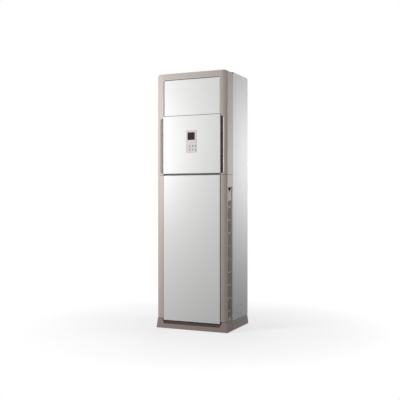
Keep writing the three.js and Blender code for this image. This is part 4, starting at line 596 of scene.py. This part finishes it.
slat = block("right_grille_fine_slats", SLAT_LOW, SLAT_HIGH)
pick(slat, lambda centre, normal: normal.x > 0.9)
bpy.ops.mesh.extrude_region_move(TRANSFORM_OT_translate={"value": ((SLAT_EDGE_X - SLAT_HIGH[0]) * MM, 0, 0)})
slat_middle = [(a + b) / 2 * MM for a, b in zip(SLAT_LOW, SLAT_HIGH)]
bpy.ops.transform.resize(value=(1, SLAT_TAPER, 1), center_override=(SLAT_EDGE_X * MM, *slat_middle[1:]))
edited()
in_a_row(slat, (0, SLAT_STEP, 0), SLAT_COUNT)
settle(slat, "right_intake_grille", "dark_taupe")
mirrored(slat, "left_grille_fine_slats", "left_intake_grille", "dark_taupe")

# The cross bars cross the slats and stand a little proud of them.
BAR_LOW, BAR_HIGH = (265.5, -187.2, 141.2), (267.9, -128, 145.7)
BAR_STEP, BAR_COUNT = 90.9, 9

bar = block("right_grille_cross_bars", BAR_LOW, BAR_HIGH)
pick(bar, lambda centre, normal: normal.x > 0.9)
bpy.ops.mesh.inset(thickness=0.5 * MM)
edited()
break_edges(bar, 0.25)
in_a_row(bar, (0, 0, BAR_STEP), BAR_COUNT)
settle(bar, "right_intake_grille", "taupe_plastic", "bezel")
mirrored(bar, "left_grille_cross_bars", "left_intake_grille", "taupe_plastic", "bezel")

# ------------------------------------------------------------------ the control bezel
# Slanted dark plates beside the six keys, as painted shadows.
KEY_SHADOW_LOW, KEY_SHADOW_HIGH = (-15.0, -215.25, 1272.0), (-9.8, -214.6, 1282.0)
KEY_SHADOW_SLANT = 2.4
KEY_STEP_ACROSS, KEY_STEP_UP = 23, 24

key_shadow = block("bezel_key_painted_shadows", KEY_SHADOW_LOW, KEY_SHADOW_HIGH)
pick(key_shadow, lambda centre, normal: normal.z > 0.9)
bpy.ops.transform.translate(value=(KEY_SHADOW_SLANT * MM, 0, 0))
edited()
break_edges(key_shadow, 0.15)
in_a_row(key_shadow, (KEY_STEP_ACROSS, 0, 0), 3)
in_a_row(key_shadow, (0, 0, KEY_STEP_UP), 2)
settle(key_shadow, "control_bezel", "black_plastic")

# ------------------------------------------------------------------ painted shade beside the lower panel
LOWER_SHADE_X, LOWER_SHADE_HALF = 221.3, 1.1
for side, hand in reversed(SIDES):
    x = side * LOWER_SHADE_X
    low, high = (x - LOWER_SHADE_HALF, -211, 74), (x + LOWER_SHADE_HALF, -209.6, 1093)
    strip(f"lower_gap_painted_shade_{hand}", low, high, "lower_frame")

# ------------------------------------------------------------------ the sheet metal
# The pressed plates of the pipe knock-outs stand a little proud of the side panels.
PLATE_LOW, PLATE_HIGH = (269.4, -12, 105.5), (271.1, 88, 158.5)
PLATE_CORNER = 14

plate = block("right_knockout_plate", PLATE_LOW, PLATE_HIGH)
mesh = edit(plate, "EDGE")
for edge in mesh.edges:
    start, end = edge.verts
    edge.select_set(abs(start.co.x - end.co.x) > MM)
bmesh.update_edit_mesh(plate.data)
bpy.ops.mesh.bevel(offset=PLATE_CORNER * MM, segments=6)
edited()
break_edges(plate, 0.6)
round_off(plate, 40)
settle(plate, "right_side_panel", "white_steel")
mirrored(plate, "left_knockout_plate", "left_side_panel", "white_steel")

# Screws that hold the sheet metal, on the outer faces of its panels.
REAR_Y, TOP_Z, SIDE_X = 210, 1825, 270
edge_screws = [(x, REAR_Y, z) for x in (-259, 259) for z in (110, 450, 790, 1130, 1470, 1790)]
middle_screws = [(x, REAR_Y, z) for x in (-90, 90) for z in (84, 1808)]
screws("rear_panel_screws", "rear_panel", edge_screws + middle_screws, (0, 1, 0))
top_screws = [(x, y, TOP_Z) for x in (-255, 255) for y in (-70, 60, 190)]
screws("top_cover_screws", "top_cover", top_screws, (0, 0, 1))
for side, hand in SIDES:
    side_screws = [(side * SIDE_X, y, z) for y in (-82, 198) for z in (92, 1796)]
    screws(hand + "_side_screws", hand + "_side_panel", side_screws, (side, 0, 0), 7.0)


# ------------------------------------------------------------------ studio
def lamp(name, place, target, size, power):
    """A rectangular lamp that looks from its place at a target."""
    bpy.ops.object.light_add(type="AREA", location=place)
    made = bpy.context.object
    made.name = name
    made.data.shape = "RECTANGLE"
    made.data.size, made.data.size_y = size
    made.data.energy = power
    toward = Vector(target) - Vector(place)
    made.rotation_euler = toward.to_track_quat("-Z", "Y").to_euler()


def joined(tree, kind, *sources):
    """A new node with its first sockets linked to the sources."""
    made = tree.nodes.new(kind)
    for source, socket in zip(sources, made.inputs):
        tree.links.new(source, socket)
    return made


def plain(tree, kind, grey, strength=None):
    """The output of a shader of one grey."""
    made = tree.nodes.new(kind)
    made.inputs["Color"].default_value = (grey, grey, grey, 1)
    if strength is not None:
        made.inputs["Strength"].default_value = strength
    return made.outputs[0]


def seen_switch(tree):
    """1 for rays that show the backdrop itself: straight, mirrored or through glass."""
    rays = tree.nodes.new("ShaderNodeLightPath")
    total = rays.outputs["Is Camera Ray"]
    for name in ("Is Glossy Ray", "Is Transmission Ray"):
        either = joined(tree, "ShaderNodeMath", total, rays.outputs[name])
        either.operation = "MAXIMUM"
        total = either.outputs[0]
    return total


def backdrop(tree, unseen, seen, output):
    """Lights the cabinet with one shader and shows the other."""
    mix = joined(tree, "ShaderNodeMixShader", seen_switch(tree), unseen, seen)
    joined(tree, output, mix.outputs[0])


def white_surround(ambient):
    """Seen, it is plain white; it lights the cabinet with the ambient strength."""
    world = bpy.data.worlds.new("white_room")
    bpy.context.scene.world = world
    world.use_nodes = True
    tree = world.node_tree
    tree.nodes.clear()
    dim = plain(tree, "ShaderNodeBackground", 1, ambient)
    white = plain(tree, "ShaderNodeBackground", 1, 1.0)
    backdrop(tree, dim, white, "ShaderNodeOutputWorld")


def pale_floor(share, near, far):
    """Seen, it is white with the cabinet's soft shadow, which fades out between the two radii."""
    just_below = -0.0006
    bpy.ops.mesh.primitive_plane_add(size=40, location=(0, 0, just_below))
    floor = bpy.context.object
    floor.name = "studio_floor"
    made = bpy.data.materials.new("pale_floor")
    made.use_nodes = True
    tree = made.node_tree
    tree.nodes.clear()
    place = tree.nodes.new("ShaderNodeTexCoord")
    radius = joined(tree, "ShaderNodeVectorMath", place.outputs["Object"])
    radius.operation = "LENGTH"
    fade = joined(tree, "ShaderNodeMapRange", radius.outputs["Value"])
    for name, value in (("From Min", near), ("From Max", far), ("To Min", 1 - share), ("To Max", 1.0)):
        fade.inputs[name].default_value = value
    lit = plain(tree, "ShaderNodeBsdfDiffuse", 0.9)
    glow = plain(tree, "ShaderNodeEmission", 1)
    shown = joined(tree, "ShaderNodeMixShader", fade.outputs["Result"], lit, glow)
    bounce = plain(tree, "ShaderNodeBsdfDiffuse", 0.08)
    backdrop(tree, bounce, shown.outputs[0], "ShaderNodeOutputMaterial")
    floor.data.materials.append(made)
    floor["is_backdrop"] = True


white_surround(0.045)
pale_floor(0.3, 0.45, 1.35)
lamp("key_front_left", (-1.9, -2.0, 2.7), (0, -0.2, 1.1), (1.2, 0.9), 8)
lamp("soft_front_left", (-1.7, -2.2, 1.45), (0, -0.2, 1.95), (0.6, 1.0), 65)
lamp("side_right", (1.25, 0.46, 1.22), (0.27, 0.05, 1.3), (0.5, 0.5), 10.2)
lamp("back_fill", (-0.9, 2.6, 1.9), (0, 0.2, 0.9), (1.2, 1.2), 30)

# The camera that was fitted to the cabinet's corners: level, turned to the left.
CAMERA_PLACE = (1.9965, -4.5858, 0.9203)
CAMERA_TURN = math.radians(23.801)
bpy.ops.object.camera_add(location=CAMERA_PLACE, rotation=(math.pi / 2, 0, CAMERA_TURN))
camera = bpy.context.object
camera.data.sensor_width = 36
camera.data.lens = 61.19
bpy.context.scene.camera = camera
bpy.context.scene.view_settings.view_transform = "Standard"

low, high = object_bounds()
